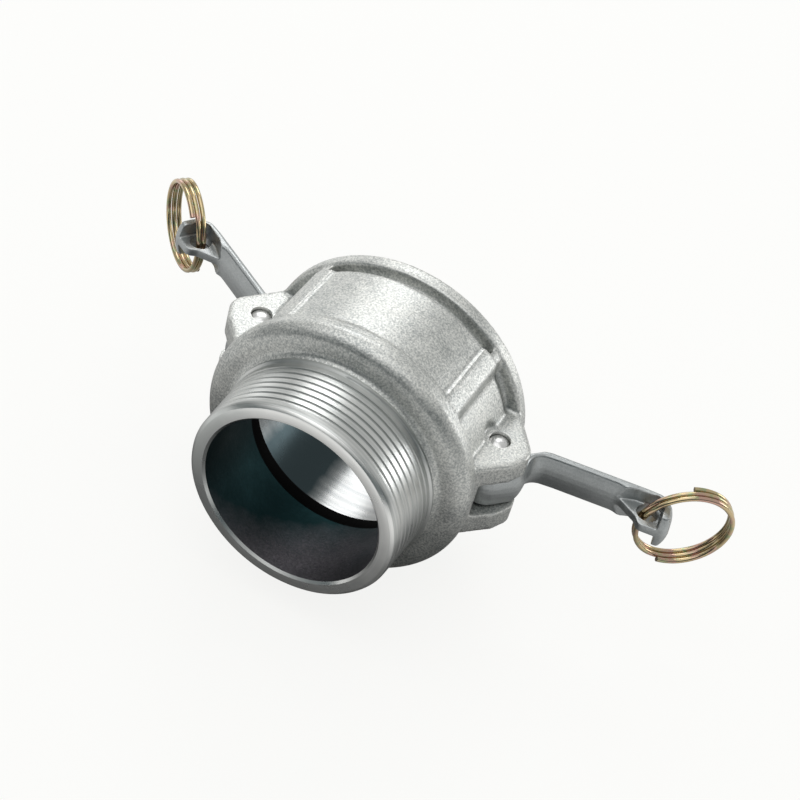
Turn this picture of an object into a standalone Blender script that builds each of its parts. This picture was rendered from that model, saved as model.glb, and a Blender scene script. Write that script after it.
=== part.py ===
"""Cam and groove coupler, nominal 3 inch: a cam socket cast in one piece with a male taper pipe thread.

The flow axis is Y. The thread's end face lies at Y = 0 and the socket's mouth faces +Y. The cam arms
stand out along X and turn on pins that run along Z. Every size is in metres.
"""

import math

import bmesh
import bpy
from mathutils import Matrix

MM = 0.001

# Flow bore and taper pipe thread, 3 inch, 8 threads per inch
BORE_RADIUS = 37.0 * MM
THREAD_CREST_RADIUS = BORE_RADIUS + 6.7 * MM
THREAD_TAPER = 1 / 32
THREAD_LENGTH = 27.5 * MM
THREAD_CHAMFER = 1.9 * MM
BORE_CHAMFER = 0.6 * MM
SHANK_RADIUS = THREAD_CREST_RADIUS + 1.7 * MM
SHANK_END = THREAD_LENGTH + 2.7 * MM
SHANK_FILLET = 2.6 * MM

# Gasket, and the seat that holds it at the bottom of the socket
GASKET_INNER_RADIUS = BORE_RADIUS + 0.7 * MM
GASKET_THICKNESS = 6.35 * MM
GASKET_GAP = 0.3 * MM
GASKET_EDGE = 0.6 * MM
GASKET_SEAT = SHANK_END + 4.9 * MM

# Socket for the grooved adapter
SOCKET_RADIUS = BORE_RADIUS + 9.15 * MM
GASKET_UNDERCUT = 1.15 * MM
GASKET_OUTER_RADIUS = SOCKET_RADIUS + GASKET_UNDERCUT
GASKET_TOP_EDGE = GASKET_UNDERCUT + GASKET_GAP
OVERALL_LENGTH = 87.8 * MM
MOUTH_CHAMFER = 2.0 * MM
MOUTH_CHAMFER_DEPTH = 3.2 * MM

# Outside of the casting
BARREL_RADIUS = SOCKET_RADIUS + 6.45 * MM
SHOULDER_FACE = SHANK_END + 1.4 * MM
SHOULDER_RADIUS = BARREL_RADIUS + 4.4 * MM
SHOULDER_ROUND = 6.4 * MM
SHOULDER_WIDTH = 12.0 * MM
SHOULDER_END = SHOULDER_FACE + SHOULDER_WIDTH
SHOULDER_REAR_DROP = 0.8 * MM
GROOVE_RADIUS = BARREL_RADIUS - 1.3 * MM
GROOVE_WIDTH = 3.4 * MM
LIP_RADIUS = BARREL_RADIUS + 4.2 * MM
LIP_WIDTH = 6.6 * MM
LIP_ROUND = 1.2 * MM
CAST_FILLET = 1.5 * MM

# Raised panels above and below, each between two ribs
PANEL_RADIUS = BARREL_RADIUS + 2.8 * MM
PANEL_END = OVERALL_LENGTH - LIP_WIDTH - 4.0 * MM
RIB_RADIUS = BARREL_RADIUS + 4.2 * MM
RIB_OUTER_X = 40.2 * MM
RIB_WIDTH = 6.6 * MM
BRIDGE_RADIUS = BARREL_RADIUS + 3.5 * MM
BRIDGE_WIDTH = 3.6 * MM
PANEL_ROOT_RADIUS = BARREL_RADIUS - 3.3 * MM
RIB_ROOT_RADIUS = BARREL_RADIUS - 3.7 * MM
BRIDGE_ROOT_RADIUS = BARREL_RADIUS - 4.1 * MM
CAST_EDGE = 0.6 * MM

# Pins, and the ears that carry them
PIN_X = BARREL_RADIUS + 1.0 * MM
PIN_Y = OVERALL_LENGTH - 24.0 * MM
PIN_RADIUS = 3.95 * MM
PIN_GAP = 0.3 * MM
PIN_SUNK = 0.3 * MM
PIN_DOME = 0.7 * MM
EAR_FACE = 18.5 * MM
EAR_THICKNESS = 9.9 * MM
EAR_ROOT_X = BARREL_RADIUS - 5.3 * MM
EAR_EDGE = 0.7 * MM
EAR_NOSE = 13.5 * MM
SPOT_RADIUS = 6.9 * MM
SPOT_LIFT = 0.1 * MM
SLOT_FRONT = 17.3 * MM
SLOT_REAR = 16.6 * MM
SLOT_INNER_X = SOCKET_RADIUS - 5.15 * MM

# Cam arms: u runs along the lever and v towards the mouth, both from the pin
ARM_GAP = 0.4 * MM
CAM_RADIUS = 9.35 * MM
CAM_OFFSET = 2.75 * MM
CAM_FLAT = 6.6 * MM
CAM_NOSE_END = 312
NECK_U = 13.9 * MM
CAM_BORE_GAP = 0.35 * MM
LEVER_OFFSET = 13.9 * MM
LEVER_THICKNESS = 6.5 * MM
LEVER_REACH = 72.8 * MM
ARM_DRAFT = 1.0 * MM
ARM_CORNER = 0.9 * MM
ARM_BACK_FALL = 1.4 * MM
WEB_THICKNESS = 3.8 * MM
EYE_U = LEVER_REACH - 9.9 * MM
EYE_V = 8.2 * MM
EYE_RADIUS = 4.2 * MM
POCKET_LENGTH = 17.4 * MM
SPINE_THICKNESS = 4.4 * MM
CROSSBAR_THICKNESS = 4.6 * MM
WEB_EDGE_V = 0.7 * MM
LEFT_ARM_ANGLE = math.radians(30.1)
RIGHT_ARM_ANGLE = math.radians(10.4)

# Finger rings: a wire coiled two and a half turns
RING_RADIUS = 19.1 * MM
RING_WIRE_RADIUS = 1.05 * MM
RING_TURNS = 2.5
RING_COIL_GAP = 0.2 * MM
RING_POINTS_PER_TURN = 34
LEFT_RING_ANGLE = math.radians(41.5)
LEFT_RING_DROP = 4.1 * MM
LEFT_RING_SHIFT = -0.9 * MM
LEFT_RING_TILT = math.radians(0.0)
RIGHT_RING_ANGLE = math.radians(34.5)
RIGHT_RING_DROP = 4.6 * MM
RIGHT_RING_SHIFT = -1.7 * MM
RIGHT_RING_TILT = math.radians(4.0)

# Fineness of the round shapes
TURN_STEPS = 80
ROUND_STEPS = 32
ARC_STEP = math.radians(15)

MERGE = 0.00001
ALONG_FLOW = Matrix.Rotation(math.radians(-90), 4, "X")

PARTS = bpy.data.collections.new("cam_groove_coupler")
CUTTERS = bpy.data.collections.new("cutters")


def clear_scene():
    """Removes what the startup file holds."""
    for obj in list(bpy.data.objects):
        bpy.data.objects.remove(obj)
    for collection in (PARTS, CUTTERS):
        bpy.context.scene.collection.children.link(collection)
    CUTTERS.hide_render = True


def finish_of(name, colour, roughness, metallic):
    """Makes a Principled material."""
    material = bpy.data.materials.new(name)
    material.use_nodes = True
    shader = material.node_tree.nodes["Principled BSDF"]
    shader.inputs["Base Color"].default_value = (*colour, 1)
    shader.inputs["Roughness"].default_value = roughness
    shader.inputs["Metallic"].default_value = metallic
    material.diffuse_color = (*colour, 1)
    return material


def arc(centre, radius, start, end, steps):
    """Points of an arc, in the plane of the outline, from one angle to another in degrees."""
    points = []
    for step in range(steps + 1):
        angle = math.radians(start + (end - start) * step / steps)
        points.append((centre[0] + radius * math.cos(angle), centre[1] + radius * math.sin(angle)))
    return points


def rounded(corners):
    """An outline from corners (x, y, radius), each corner rounded by an arc of its radius."""
    points = []
    for index, (x, y, radius) in enumerate(corners):
        before = corners[index - 1]
        after = corners[(index + 1) % len(corners)]
        if radius == 0:
            points.append((x, y))
            continue
        back = math.atan2(before[1] - y, before[0] - x)
        ahead = math.atan2(after[1] - y, after[0] - x)
        turn = (ahead - back + math.pi) % (2 * math.pi) - math.pi
        half = abs(turn) / 2
        room = min(math.hypot(before[0] - x, before[1] - y), math.hypot(after[0] - x, after[1] - y))
        tangent = min(radius / math.tan(half), 0.49 * room)
        radius = tangent * math.tan(half)
        middle = back + turn / 2
        away = radius / math.sin(half)
        centre = (x + away * math.cos(middle), y + away * math.sin(middle))
        first = (x + tangent * math.cos(back), y + tangent * math.sin(back))
        start = math.atan2(first[1] - centre[1], first[0] - centre[0])
        sweep = -math.copysign(math.pi - abs(turn), turn)
        steps = max(2, math.ceil(abs(sweep) / ARC_STEP))
        for step in range(steps + 1):
            angle = start + sweep * step / steps
            points.append((centre[0] + radius * math.cos(angle), centre[1] + radius * math.sin(angle)))
    return points


def inset(points, distance):
    """The outline moved inwards by a distance. The points run counterclockwise."""
    moved = []
    for index, point in enumerate(points):
        before = points[index - 1]
        after = points[(index + 1) % len(points)]
        edge_in = math.atan2(point[1] - before[1], point[0] - before[0])
        edge_out = math.atan2(after[1] - point[1], after[0] - point[0])
        turn = (edge_out - edge_in + math.pi) % (2 * math.pi) - math.pi
        normal = edge_in + turn / 2 + math.pi / 2
        reach = distance / math.cos(turn / 2)
        moved.append((point[0] + reach * math.cos(normal), point[1] + reach * math.sin(normal)))
    return moved


def half_turn(side):
    """No turn for side 1, and for side -1 a half turn about the flow axis, onto the other side."""
    return Matrix.Rotation(0 if side > 0 else math.pi, 4, "Y")


def new_object(name, data, collection):
    """An object in a collection. A cutter is drawn as a wire and left out of a render."""
    obj = bpy.data.objects.new(name, data)
    collection.objects.link(obj)
    if collection is CUTTERS:
        obj.hide_render = True
        obj.display_type = "WIRE"
    return obj


def turned(name, profile, collection):
    """A shape turned about the flow axis. The profile's points are (radius, place along the flow)."""
    mesh = bpy.data.meshes.new(name)
    count = len(profile)
    mesh.from_pydata(
        [(radius, 0, along) for radius, along in profile],
        [(index, (index + 1) % count) for index in range(count)],
        [],
    )
    obj = new_object(name, mesh, collection)
    obj.matrix_world = ALONG_FLOW
    screw = obj.modifiers.new("turn", "SCREW")
    screw.steps = TURN_STEPS
    screw.render_steps = TURN_STEPS
    screw.use_merge_vertices = True
    screw.merge_threshold = MERGE
    return obj


def prism(name, outline, depth, matrix, edge=0):
    """A flat outline, as thick as depth to both sides of its plane, made a mesh, with its edges rounded."""
    curve = bpy.data.curves.new(name, "CURVE")
    curve.dimensions = "2D"
    curve.fill_mode = "BOTH"
    curve.extrude = depth
    spline = curve.splines.new("POLY")
    spline.points.add(len(outline) - 1)
    spline.use_cyclic_u = True
    for point, (x, y) in zip(spline.points, outline):
        point.co = (x, y, 0, 1)
    drawn = new_object(name + "_outline", curve, CUTTERS)
    mesh = bpy.data.meshes.new_from_object(drawn.evaluated_get(bpy.context.evaluated_depsgraph_get()))
    bpy.data.objects.remove(drawn)
    welded = bmesh.new()
    welded.from_mesh(mesh)
    bmesh.ops.remove_doubles(welded, verts=welded.verts, dist=MERGE)
    bmesh.ops.recalc_face_normals(welded, faces=welded.faces)
    welded.to_mesh(mesh)
    welded.free()
    obj = new_object(name, mesh, CUTTERS)
    obj.matrix_world = matrix
    if edge:
        bevel = obj.modifiers.new("edge", "BEVEL")
        bevel.width = edge
        bevel.segments = 2
        bevel.limit_method = "ANGLE"
        bevel.angle_limit = math.radians(50)
    return obj


def rod(name, radius, depth, location, steps=ROUND_STEPS):
    """A cylinder along Z, as long as depth to both sides of its place."""
    mesh = bpy.data.meshes.new(name)
    shape = bmesh.new()
    bmesh.ops.create_cone(
        shape, cap_ends=True, segments=steps, radius1=radius, radius2=radius, depth=2 * depth
    )
    shape.to_mesh(mesh)
    shape.free()
    obj = new_object(name, mesh, CUTTERS)
    obj.location = location
    return obj


def combine(obj, other, operation):
    """Adds a Boolean modifier."""
    boolean = obj.modifiers.new(other.name, "BOOLEAN")
    boolean.operation = operation
    boolean.solver = "MANIFOLD"
    boolean.object = other


def dress(obj, material):
    """Gives a part its material and smooth round faces."""
    obj.data.materials.append(material)
    if obj.type == "MESH":
        obj.data.shade_smooth()


def body_profile():
    """Outer side from the mouth down to the thread, then the inner side back up to the mouth."""
    lip_front = OVERALL_LENGTH - LIP_WIDTH
    groove_front = lip_front - GROOVE_WIDTH
    crest_end = THREAD_CREST_RADIUS + THREAD_TAPER * THREAD_LENGTH
    outer = [(LIP_RADIUS - LIP_ROUND, OVERALL_LENGTH)]
    outer += arc((LIP_RADIUS - LIP_ROUND, OVERALL_LENGTH - LIP_ROUND), LIP_ROUND, 60, 0, 2)
    outer += arc((LIP_RADIUS - LIP_ROUND, lip_front + LIP_ROUND), LIP_ROUND, 0, -90, 3)
    outer += arc((GROOVE_RADIUS + CAST_FILLET, lip_front - CAST_FILLET), CAST_FILLET, 90, 180, 3)
    outer += [(GROOVE_RADIUS, groove_front)]
    outer += [(BARREL_RADIUS - CAST_EDGE, groove_front)]
    outer += [(BARREL_RADIUS, groove_front - CAST_EDGE)]
    outer += [(BARREL_RADIUS, SHOULDER_END + CAST_FILLET)]
    rear_radius = SHOULDER_RADIUS - SHOULDER_REAR_DROP
    outer += [(BARREL_RADIUS + CAST_FILLET, SHOULDER_END)]
    outer += [(rear_radius - CAST_EDGE, SHOULDER_END)]
    outer += [(rear_radius, SHOULDER_END - CAST_EDGE)]
    outer += [(SHOULDER_RADIUS - SHOULDER_REAR_DROP / 4, SHOULDER_END - SHOULDER_WIDTH / 4)]
    outer += arc(
        (SHOULDER_RADIUS - SHOULDER_ROUND, SHOULDER_FACE + SHOULDER_ROUND), SHOULDER_ROUND, 0, -80, 6
    )
    outer += arc((SHANK_RADIUS + SHANK_FILLET, SHANK_END - SHANK_FILLET / 2), SHANK_FILLET, 90, 180, 4)
    outer += [(SHANK_RADIUS, THREAD_LENGTH + (SHANK_RADIUS - crest_end))]
    outer += [(crest_end, THREAD_LENGTH)]
    outer += [(THREAD_CREST_RADIUS + THREAD_TAPER * THREAD_CHAMFER, THREAD_CHAMFER)]
    outer += [(THREAD_CREST_RADIUS - THREAD_CHAMFER, 0)]
    seat_radius = GASKET_OUTER_RADIUS + GASKET_GAP
    seat_end = GASKET_SEAT + GASKET_THICKNESS + 2 * GASKET_GAP
    inner = [(BORE_RADIUS + BORE_CHAMFER, 0)]
    inner += [(BORE_RADIUS, BORE_CHAMFER)]
    inner += [(BORE_RADIUS, GASKET_SEAT)]
    inner += [(seat_radius, GASKET_SEAT)]
    inner += [(seat_radius, seat_end)]
    inner += [(SOCKET_RADIUS, seat_end)]
    inner += [(SOCKET_RADIUS, OVERALL_LENGTH - MOUTH_CHAMFER_DEPTH)]
    inner += [(SOCKET_RADIUS + MOUTH_CHAMFER, OVERALL_LENGTH)]
    return outer + inner


def sector_outline(radius, root_radius, left, right):
    """The section across the flow of a raised pad on the barrel, with upright sides at left and right."""
    steps = max(2, math.ceil((right - left) / (4 * MM)))
    across = [left + (right - left) * step / steps for step in range(steps + 1)]
    top = [(x, math.sqrt(radius**2 - x**2)) for x in reversed(across)]
    root = [(x, math.sqrt(root_radius**2 - x**2)) for x in across]
    return root + top


def pad(name, outline, start, end, side, edge=CAST_EDGE):
    """A raised pad on the barrel, from one place along the flow to another, on the upper or lower side."""
    depth = (end - start) / 2
    place = Matrix.Translation((0, (start + end) / 2, 0))
    stand = Matrix.Rotation(math.radians(90), 4, "X")
    return prism(name, outline, depth, half_turn(side) @ place @ stand, edge)


def panels(side, label):
    """The bare panel and the two ribs beside it, each joined to the lip by a narrow bridge."""
    rib_inner = RIB_OUTER_X - RIB_WIDTH
    start = SHOULDER_END - SHOULDER_WIDTH / 6
    lip_middle = OVERALL_LENGTH - LIP_WIDTH / 2
    field = sector_outline(PANEL_RADIUS, PANEL_ROOT_RADIUS, -rib_inner - CAST_EDGE, rib_inner + CAST_EDGE)
    pads = [pad(label + "_panel", field, start, PANEL_END, side)]
    bridge_x = RIB_OUTER_X - CAST_EDGE
    for hand, left, bridge_left in (
        ("right", rib_inner, bridge_x - BRIDGE_WIDTH),
        ("left", -RIB_OUTER_X, -bridge_x),
    ):
        rib = sector_outline(RIB_RADIUS, RIB_ROOT_RADIUS, left, left + RIB_WIDTH)
        pads.append(pad(label + "_rib_" + hand, rib, start, PANEL_END, side))
        bridge = sector_outline(BRIDGE_RADIUS, BRIDGE_ROOT_RADIUS, bridge_left, bridge_left + BRIDGE_WIDTH)
        pads.append(pad(label + "_bridge_" + hand, bridge, PANEL_END - 2 * MM, lip_middle, side, 0))
    return pads


def ear_outline():
    """The ears seen along the pin, from the pin's centre, for the right-hand side."""
    root = EAR_ROOT_X - PIN_X
    lip_front = OVERALL_LENGTH - LIP_WIDTH - PIN_Y
    shoulder = SHOULDER_END - PIN_Y
    return rounded(
        [
            (root, shoulder - 0.8 * MM, 0),
            (-1.0 * MM, shoulder - 0.8 * MM, 0),
            (EAR_NOSE - 3.3 * MM, -9.2 * MM, 4.0 * MM),
            (EAR_NOSE, -1.6 * MM, 3.0 * MM),
            (EAR_NOSE - 0.9 * MM, 3.0 * MM, 4.0 * MM),
            (2.6 * MM, lip_front - 1.4 * MM, 1.5 * MM),
            (1.0 * MM, lip_front + 1.0 * MM, 0),
            (root, lip_front + 1.0 * MM, 0),
        ]
    )


def ears_and_slot(hand, label):
    """The block that becomes two ears, and the slot and pin bore cut through it."""
    at_pin = half_turn(hand) @ Matrix.Translation((PIN_X, PIN_Y, 0))
    block = prism(label + "_ears", ear_outline(), EAR_FACE, at_pin, EAR_EDGE)
    outside = 30 * MM
    slot_inner = SLOT_INNER_X - PIN_X
    slot_outline = rounded(
        [
            (slot_inner, -SLOT_FRONT, 0),
            (outside, -SLOT_FRONT, 0),
            (outside, SLOT_REAR, 0),
            (slot_inner, SLOT_REAR, 0),
        ]
    )
    slot = prism(label + "_slot", slot_outline, EAR_FACE - EAR_THICKNESS, at_pin, 1.2 * MM)
    bore = rod(label + "_pin_bore", PIN_RADIUS + PIN_GAP, EAR_FACE + EAR_EDGE, (hand * PIN_X, PIN_Y, 0))
    spots = []
    height = BARREL_RADIUS / 4
    for face, side in (("_upper", 1), ("_lower", -1)):
        middle = side * (EAR_FACE + SPOT_LIFT + height)
        spots.append(rod(label + face + "_spot", SPOT_RADIUS, height, (hand * PIN_X, PIN_Y, middle)))
    return block, [slot, bore] + spots


def make_body(material):
    """The one-piece casting with its machined thread, gasket seat and socket."""
    body = turned("coupler_body", body_profile(), PARTS)
    for side, label in ((1, "upper"), (-1, "lower")):
        for raised in panels(side, label):
            combine(body, raised, "UNION")
    cuts = []
    for hand, label in ((1, "right"), (-1, "left")):
        block, ear_cuts = ears_and_slot(hand, label)
        combine(body, block, "UNION")
        cuts += ear_cuts
    for cut in cuts:
        combine(body, cut, "DIFFERENCE")
    dress(body, material)
    return body


def make_gasket(material):
    """The gasket that the adapter's end presses on."""
    low = GASKET_SEAT + GASKET_GAP
    high = low + GASKET_THICKNESS
    profile = [
        (GASKET_OUTER_RADIUS - GASKET_TOP_EDGE, high),
        (GASKET_OUTER_RADIUS, high - GASKET_EDGE),
        (GASKET_OUTER_RADIUS, low + GASKET_EDGE),
        (GASKET_OUTER_RADIUS - GASKET_EDGE, low),
        (GASKET_INNER_RADIUS + GASKET_EDGE, low),
        (GASKET_INNER_RADIUS, low + GASKET_EDGE),
        (GASKET_INNER_RADIUS, high - GASKET_EDGE),
        (GASKET_INNER_RADIUS + GASKET_EDGE, high),
    ]
    gasket = turned("gasket", profile, PARTS)
    dress(gasket, material)
    return gasket


def make_pin(label, hand, material):
    """A headless pin with slightly domed ends, just below the faces of the ears."""
    half = EAR_FACE - PIN_SUNK
    dome_edge = PIN_RADIUS - PIN_DOME
    profile = [(0, half), (dome_edge, half - PIN_DOME / 2), (PIN_RADIUS, half - PIN_DOME - PIN_DOME / 2)]
    profile += [(radius, -along) for radius, along in reversed(profile)]
    mesh = bpy.data.meshes.new("cam_pin_" + label)
    mesh.from_pydata(
        [(radius, 0, along) for radius, along in profile],
        [(index, index + 1) for index in range(len(profile) - 1)],
        [],
    )
    pin = new_object("cam_pin_" + label, mesh, PARTS)
    screw = pin.modifiers.new("turn", "SCREW")
    screw.steps = ROUND_STEPS
    screw.render_steps = ROUND_STEPS
    screw.use_merge_vertices = True
    screw.merge_threshold = MERGE
    pin.location = (hand * PIN_X, PIN_Y, 0)
    dress(pin, material)
    return pin


def arm_outline():
    """The arm seen along the pin at its middle height: cam, neck, lever and tip, counterclockwise."""
    outer = LEVER_OFFSET + LEVER_THICKNESS / 2
    inner = LEVER_OFFSET - LEVER_THICKNESS / 2
    flat_foot = -CAM_OFFSET - math.sqrt(CAM_RADIUS**2 - CAM_FLAT**2)
    start = math.degrees(math.atan2(flat_foot + CAM_OFFSET, -CAM_FLAT)) % 360
    nose = arc((0, -CAM_OFFSET), CAM_RADIUS, start, CAM_NOSE_END, 9)
    corners = [(u, v, 0) for u, v in nose]
    corners += [
        (NECK_U, -3.2 * MM, 6 * MM),
        (NECK_U + 1.4 * MM, inner - 0.5 * MM, 9 * MM),
        (NECK_U + 11.1 * MM, inner, 0),
        (EYE_U - 12.7 * MM, inner, 6 * MM),
        (EYE_U - 4.3 * MM, EYE_V - 3.8 * MM, 4 * MM),
        (EYE_U - 2.3 * MM, WEB_EDGE_V, 3 * MM),
        (LEVER_REACH, WEB_EDGE_V, 3 * MM),
        (LEVER_REACH, EYE_V + 2.2 * MM, 6 * MM),
        (LEVER_REACH - 5.8 * MM, outer - 0.6 * MM, 6 * MM),
        (LEVER_REACH - 12.8 * MM, outer, 20 * MM),
        (NECK_U + 4.3 * MM, outer, 8 * MM),
        (NECK_U - 1.9 * MM, LEVER_OFFSET - 2.1 * MM, 6 * MM),
        (-CAM_FLAT, 6.2 * MM, 4 * MM),
    ]
    return rounded(corners)


def pocket_outline():
    """The hollow on each face of the lever's tip, open towards the thread."""
    ceiling = LEVER_OFFSET + LEVER_THICKNESS / 2 - SPINE_THICKNESS
    wall = LEVER_REACH - CROSSBAR_THICKNESS
    open_v = WEB_EDGE_V - 6 * MM
    inner = LEVER_OFFSET - LEVER_THICKNESS / 2
    mouth = EYE_U - POCKET_LENGTH
    return rounded(
        [
            (mouth, open_v, 0),
            (wall, open_v, 0),
            (wall, EYE_V + 2.4 * MM, 2.0 * MM),
            (wall - 2.6 * MM, ceiling, 3.0 * MM),
            (EYE_U - 6.0 * MM, ceiling, 6.0 * MM),
            (EYE_U - 11.4 * MM, inner + 0.5 * MM, 5.0 * MM),
            (mouth, inner - 1.2 * MM, 0),
        ]
    )


def drafted(name, outline, half):
    """A casting whose sides lean in from a parting line at mid height to rounded upper and lower edges."""
    levels = [
        (-half, ARM_DRAFT + ARM_CORNER),
        (-half + ARM_CORNER * 0.35, ARM_DRAFT + ARM_CORNER * 0.4),
        (-half + ARM_CORNER, ARM_DRAFT),
    ]
    levels += [(0, 0)] + [(-height, lean) for height, lean in reversed(levels)]
    mesh = bpy.data.meshes.new(name)
    shape = bmesh.new()
    rings = []
    for height, lean in levels:
        ring = []
        for u, v in inset(outline, lean):
            fall = ARM_BACK_FALL * max(0, v - LEVER_OFFSET) / (LEVER_THICKNESS / 2)
            ring.append(shape.verts.new((u, v, height * (1 - fall / half))))
        rings.append(ring)
    for lower, upper in zip(rings, rings[1:]):
        for index in range(len(lower)):
            after = (index + 1) % len(lower)
            shape.faces.new((lower[index], lower[after], upper[after], upper[index]))
    shape.faces.new(reversed(rings[0]))
    shape.faces.new(rings[-1])
    shape.normal_update()
    bmesh.ops.triangulate(shape, faces=shape.faces)
    shape.to_mesh(mesh)
    shape.free()
    return mesh


def make_arm(label, hand, angle, material):
    """A cam arm on its pin, with the tip pocketed on both faces to a web with the ring's eye."""
    half = EAR_FACE - EAR_THICKNESS - ARM_GAP
    mesh = drafted("cam_arm_" + label, arm_outline(), half)
    arm = new_object("cam_arm_" + label, mesh, PARTS)
    at_pin = half_turn(hand) @ Matrix.Translation((PIN_X, PIN_Y, 0))
    place = at_pin @ Matrix.Rotation(angle, 4, "Z")
    arm.matrix_world = place
    depth = half
    for side, face in ((1, "upper"), (-1, "lower")):
        lift = Matrix.Translation((0, 0, side * (WEB_THICKNESS / 2 + depth)))
        pocket = prism(label + "_" + face + "_pocket", pocket_outline(), depth, place @ lift)
        combine(arm, pocket, "DIFFERENCE")
    for name, radius, u, v in (
        ("_eye", EYE_RADIUS, EYE_U, EYE_V),
        ("_cam_bore", PIN_RADIUS + CAM_BORE_GAP, 0, 0),
    ):
        hole = rod(label + name, radius, 2 * half, place @ Matrix.Translation((u, v, 0)).translation)
        combine(arm, hole, "DIFFERENCE")
    dress(arm, material)
    return arm


def make_ring(label, hand, arm_angle, ring, material):
    """A coiled wire ring that passes down through the eye and round the end of the arm.

    The ring is given by its direction from the eye, its drop below the eye, its wire's shift in the eye
    and its tilt about its direction.
    """
    ring_angle, drop, shift, tilt = ring
    eye_x = PIN_X + EYE_U * math.cos(arm_angle) - EYE_V * math.sin(arm_angle)
    eye_y = PIN_Y + EYE_U * math.sin(arm_angle) + EYE_V * math.cos(arm_angle)
    reach = math.sqrt(RING_RADIUS**2 - drop**2) + shift
    pitch = 2 * RING_WIRE_RADIUS + RING_COIL_GAP
    curve = bpy.data.curves.new("finger_ring_" + label, "CURVE")
    curve.dimensions = "3D"
    curve.bevel_depth = RING_WIRE_RADIUS
    curve.bevel_resolution = 2
    curve.use_fill_caps = True
    spline = curve.splines.new("POLY")
    count = round(RING_TURNS * RING_POINTS_PER_TURN)
    spline.points.add(count)
    for index, point in enumerate(spline.points):
        turns = RING_TURNS * (index / count - 0.5)
        angle = 2 * math.pi * turns
        outwards = reach + RING_RADIUS * math.cos(angle)
        point.co = (outwards, pitch * turns, RING_RADIUS * math.sin(angle) - drop, 1)
    wire = new_object("finger_ring_" + label, curve, PARTS)
    wire.location = (hand * eye_x, eye_y, 0)
    wire.rotation_euler = (tilt, 0, ring_angle if hand > 0 else math.pi - ring_angle)
    dress(wire, material)
    return wire


def main():
    """Builds the coupler."""
    clear_scene()
    cast = finish_of("cast_aluminium", (0.62, 0.63, 0.62), 0.45, 1.0)
    arm_cast = finish_of("arm_aluminium", (0.42, 0.44, 0.45), 0.4, 1.0)
    steel = finish_of("pin_steel", (0.72, 0.72, 0.70), 0.25, 1.0)
    plated = finish_of("yellow_plated_wire", (0.72, 0.62, 0.38), 0.25, 1.0)
    rubber = finish_of("gasket_rubber", (0.015, 0.015, 0.016), 0.6, 0.0)
    make_body(cast)
    make_gasket(rubber)
    sides = (
        ("left", -1, LEFT_ARM_ANGLE, (LEFT_RING_ANGLE, LEFT_RING_DROP, LEFT_RING_SHIFT, LEFT_RING_TILT)),
        ("right", 1, RIGHT_ARM_ANGLE, (RIGHT_RING_ANGLE, RIGHT_RING_DROP, RIGHT_RING_SHIFT, RIGHT_RING_TILT)),
    )
    for label, hand, arm_angle, ring in sides:
        make_pin(label, hand, steel)
        make_arm(label, hand, arm_angle, arm_cast)
        make_ring(label, hand, arm_angle, ring, plated)


main()
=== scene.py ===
"""A 3 inch cam and groove coupler, dressed for its picture.

The coupler is one sand casting. Its front end is turned to a taper pipe thread, and its rear end is a
socket with two cam arms. Each arm carries a ring of coiled wire. The flow axis is Y, the thread's end
face lies at Y = 0, the socket's mouth faces +Y and the pins run along Z. Sizes are in metres.
"""

import logging
import math
from contextlib import contextmanager
from dataclasses import dataclass, field
from enum import Enum
from typing import Callable, Dict, Iterator, List, Optional, Sequence, Tuple

import bpy
from mathutils import Matrix, Vector


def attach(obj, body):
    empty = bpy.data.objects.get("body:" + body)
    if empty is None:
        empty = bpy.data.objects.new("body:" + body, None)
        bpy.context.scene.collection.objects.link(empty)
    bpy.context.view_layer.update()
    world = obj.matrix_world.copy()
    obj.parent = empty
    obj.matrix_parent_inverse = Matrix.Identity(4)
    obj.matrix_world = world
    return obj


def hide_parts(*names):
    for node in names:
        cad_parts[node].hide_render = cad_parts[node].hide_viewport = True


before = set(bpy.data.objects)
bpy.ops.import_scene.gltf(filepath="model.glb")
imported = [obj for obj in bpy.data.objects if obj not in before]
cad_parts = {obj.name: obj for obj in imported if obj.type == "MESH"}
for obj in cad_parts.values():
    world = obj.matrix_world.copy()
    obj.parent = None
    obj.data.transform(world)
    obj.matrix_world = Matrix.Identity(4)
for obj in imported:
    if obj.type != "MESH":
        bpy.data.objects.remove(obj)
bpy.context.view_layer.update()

LOG = logging.getLogger("coupler")

MM = 0.001
QUARTER_TURN = math.radians(90)

# Points closer than MERGE are one point, and a face this NEAR to a surface is part of it
MERGE = 0.002 * MM
NEAR = 0.1 * MM

# Places that more than one piece shares
PIN_X = 53.6 * MM
PIN_Y = 63.8 * MM
SHANK_RADIUS = 45.4 * MM
SEAT_START = 35.1 * MM

# How finely round shapes are made, and how much of the shorter side a rounded corner may take
SIDES = 192
PIN_SIDES = 64
FEWEST_STEPS = 3
EDGE_SEGMENTS = 3
EDGE_LIMIT = math.radians(50)
ROOM_SHARE = 0.49

# The value that a noise wavers about
NOISE_MIDDLE = 0.5

Point2 = Tuple[float, float]
Point3 = Tuple[float, float, float]
Colour = Tuple[float, float, float]
Span = Tuple[float, float]
Surface = Tuple[bpy.types.NodeSocket, bpy.types.NodeSocket, bpy.types.NodeSocket]


class Side(Enum):
    """The two sides of the coupler that carry an arm. The value is the sign of the pin's X."""

    LEFT = -1
    RIGHT = 1

    @property
    def label(self) -> str:
        """The side's name as the pieces' names have it."""
        return self.name.lower()

    @property
    def turn(self) -> Matrix:
        """The half turn about the flow axis that brings a right-hand shape onto this side."""
        return Matrix.Rotation(0.0 if self is Side.RIGHT else math.pi, 4, "Y")


class Face(Enum):
    """The upper and the lower face of the casting, each with its panel and ribs."""

    UPPER = 1
    LOWER = -1

    @property
    def turn(self) -> Matrix:
        """The half turn about the flow axis that brings an upper shape onto this face."""
        return Matrix.Rotation(0.0 if self is Face.UPPER else math.pi, 4, "Y")


# Drawing and modelling tools


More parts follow.
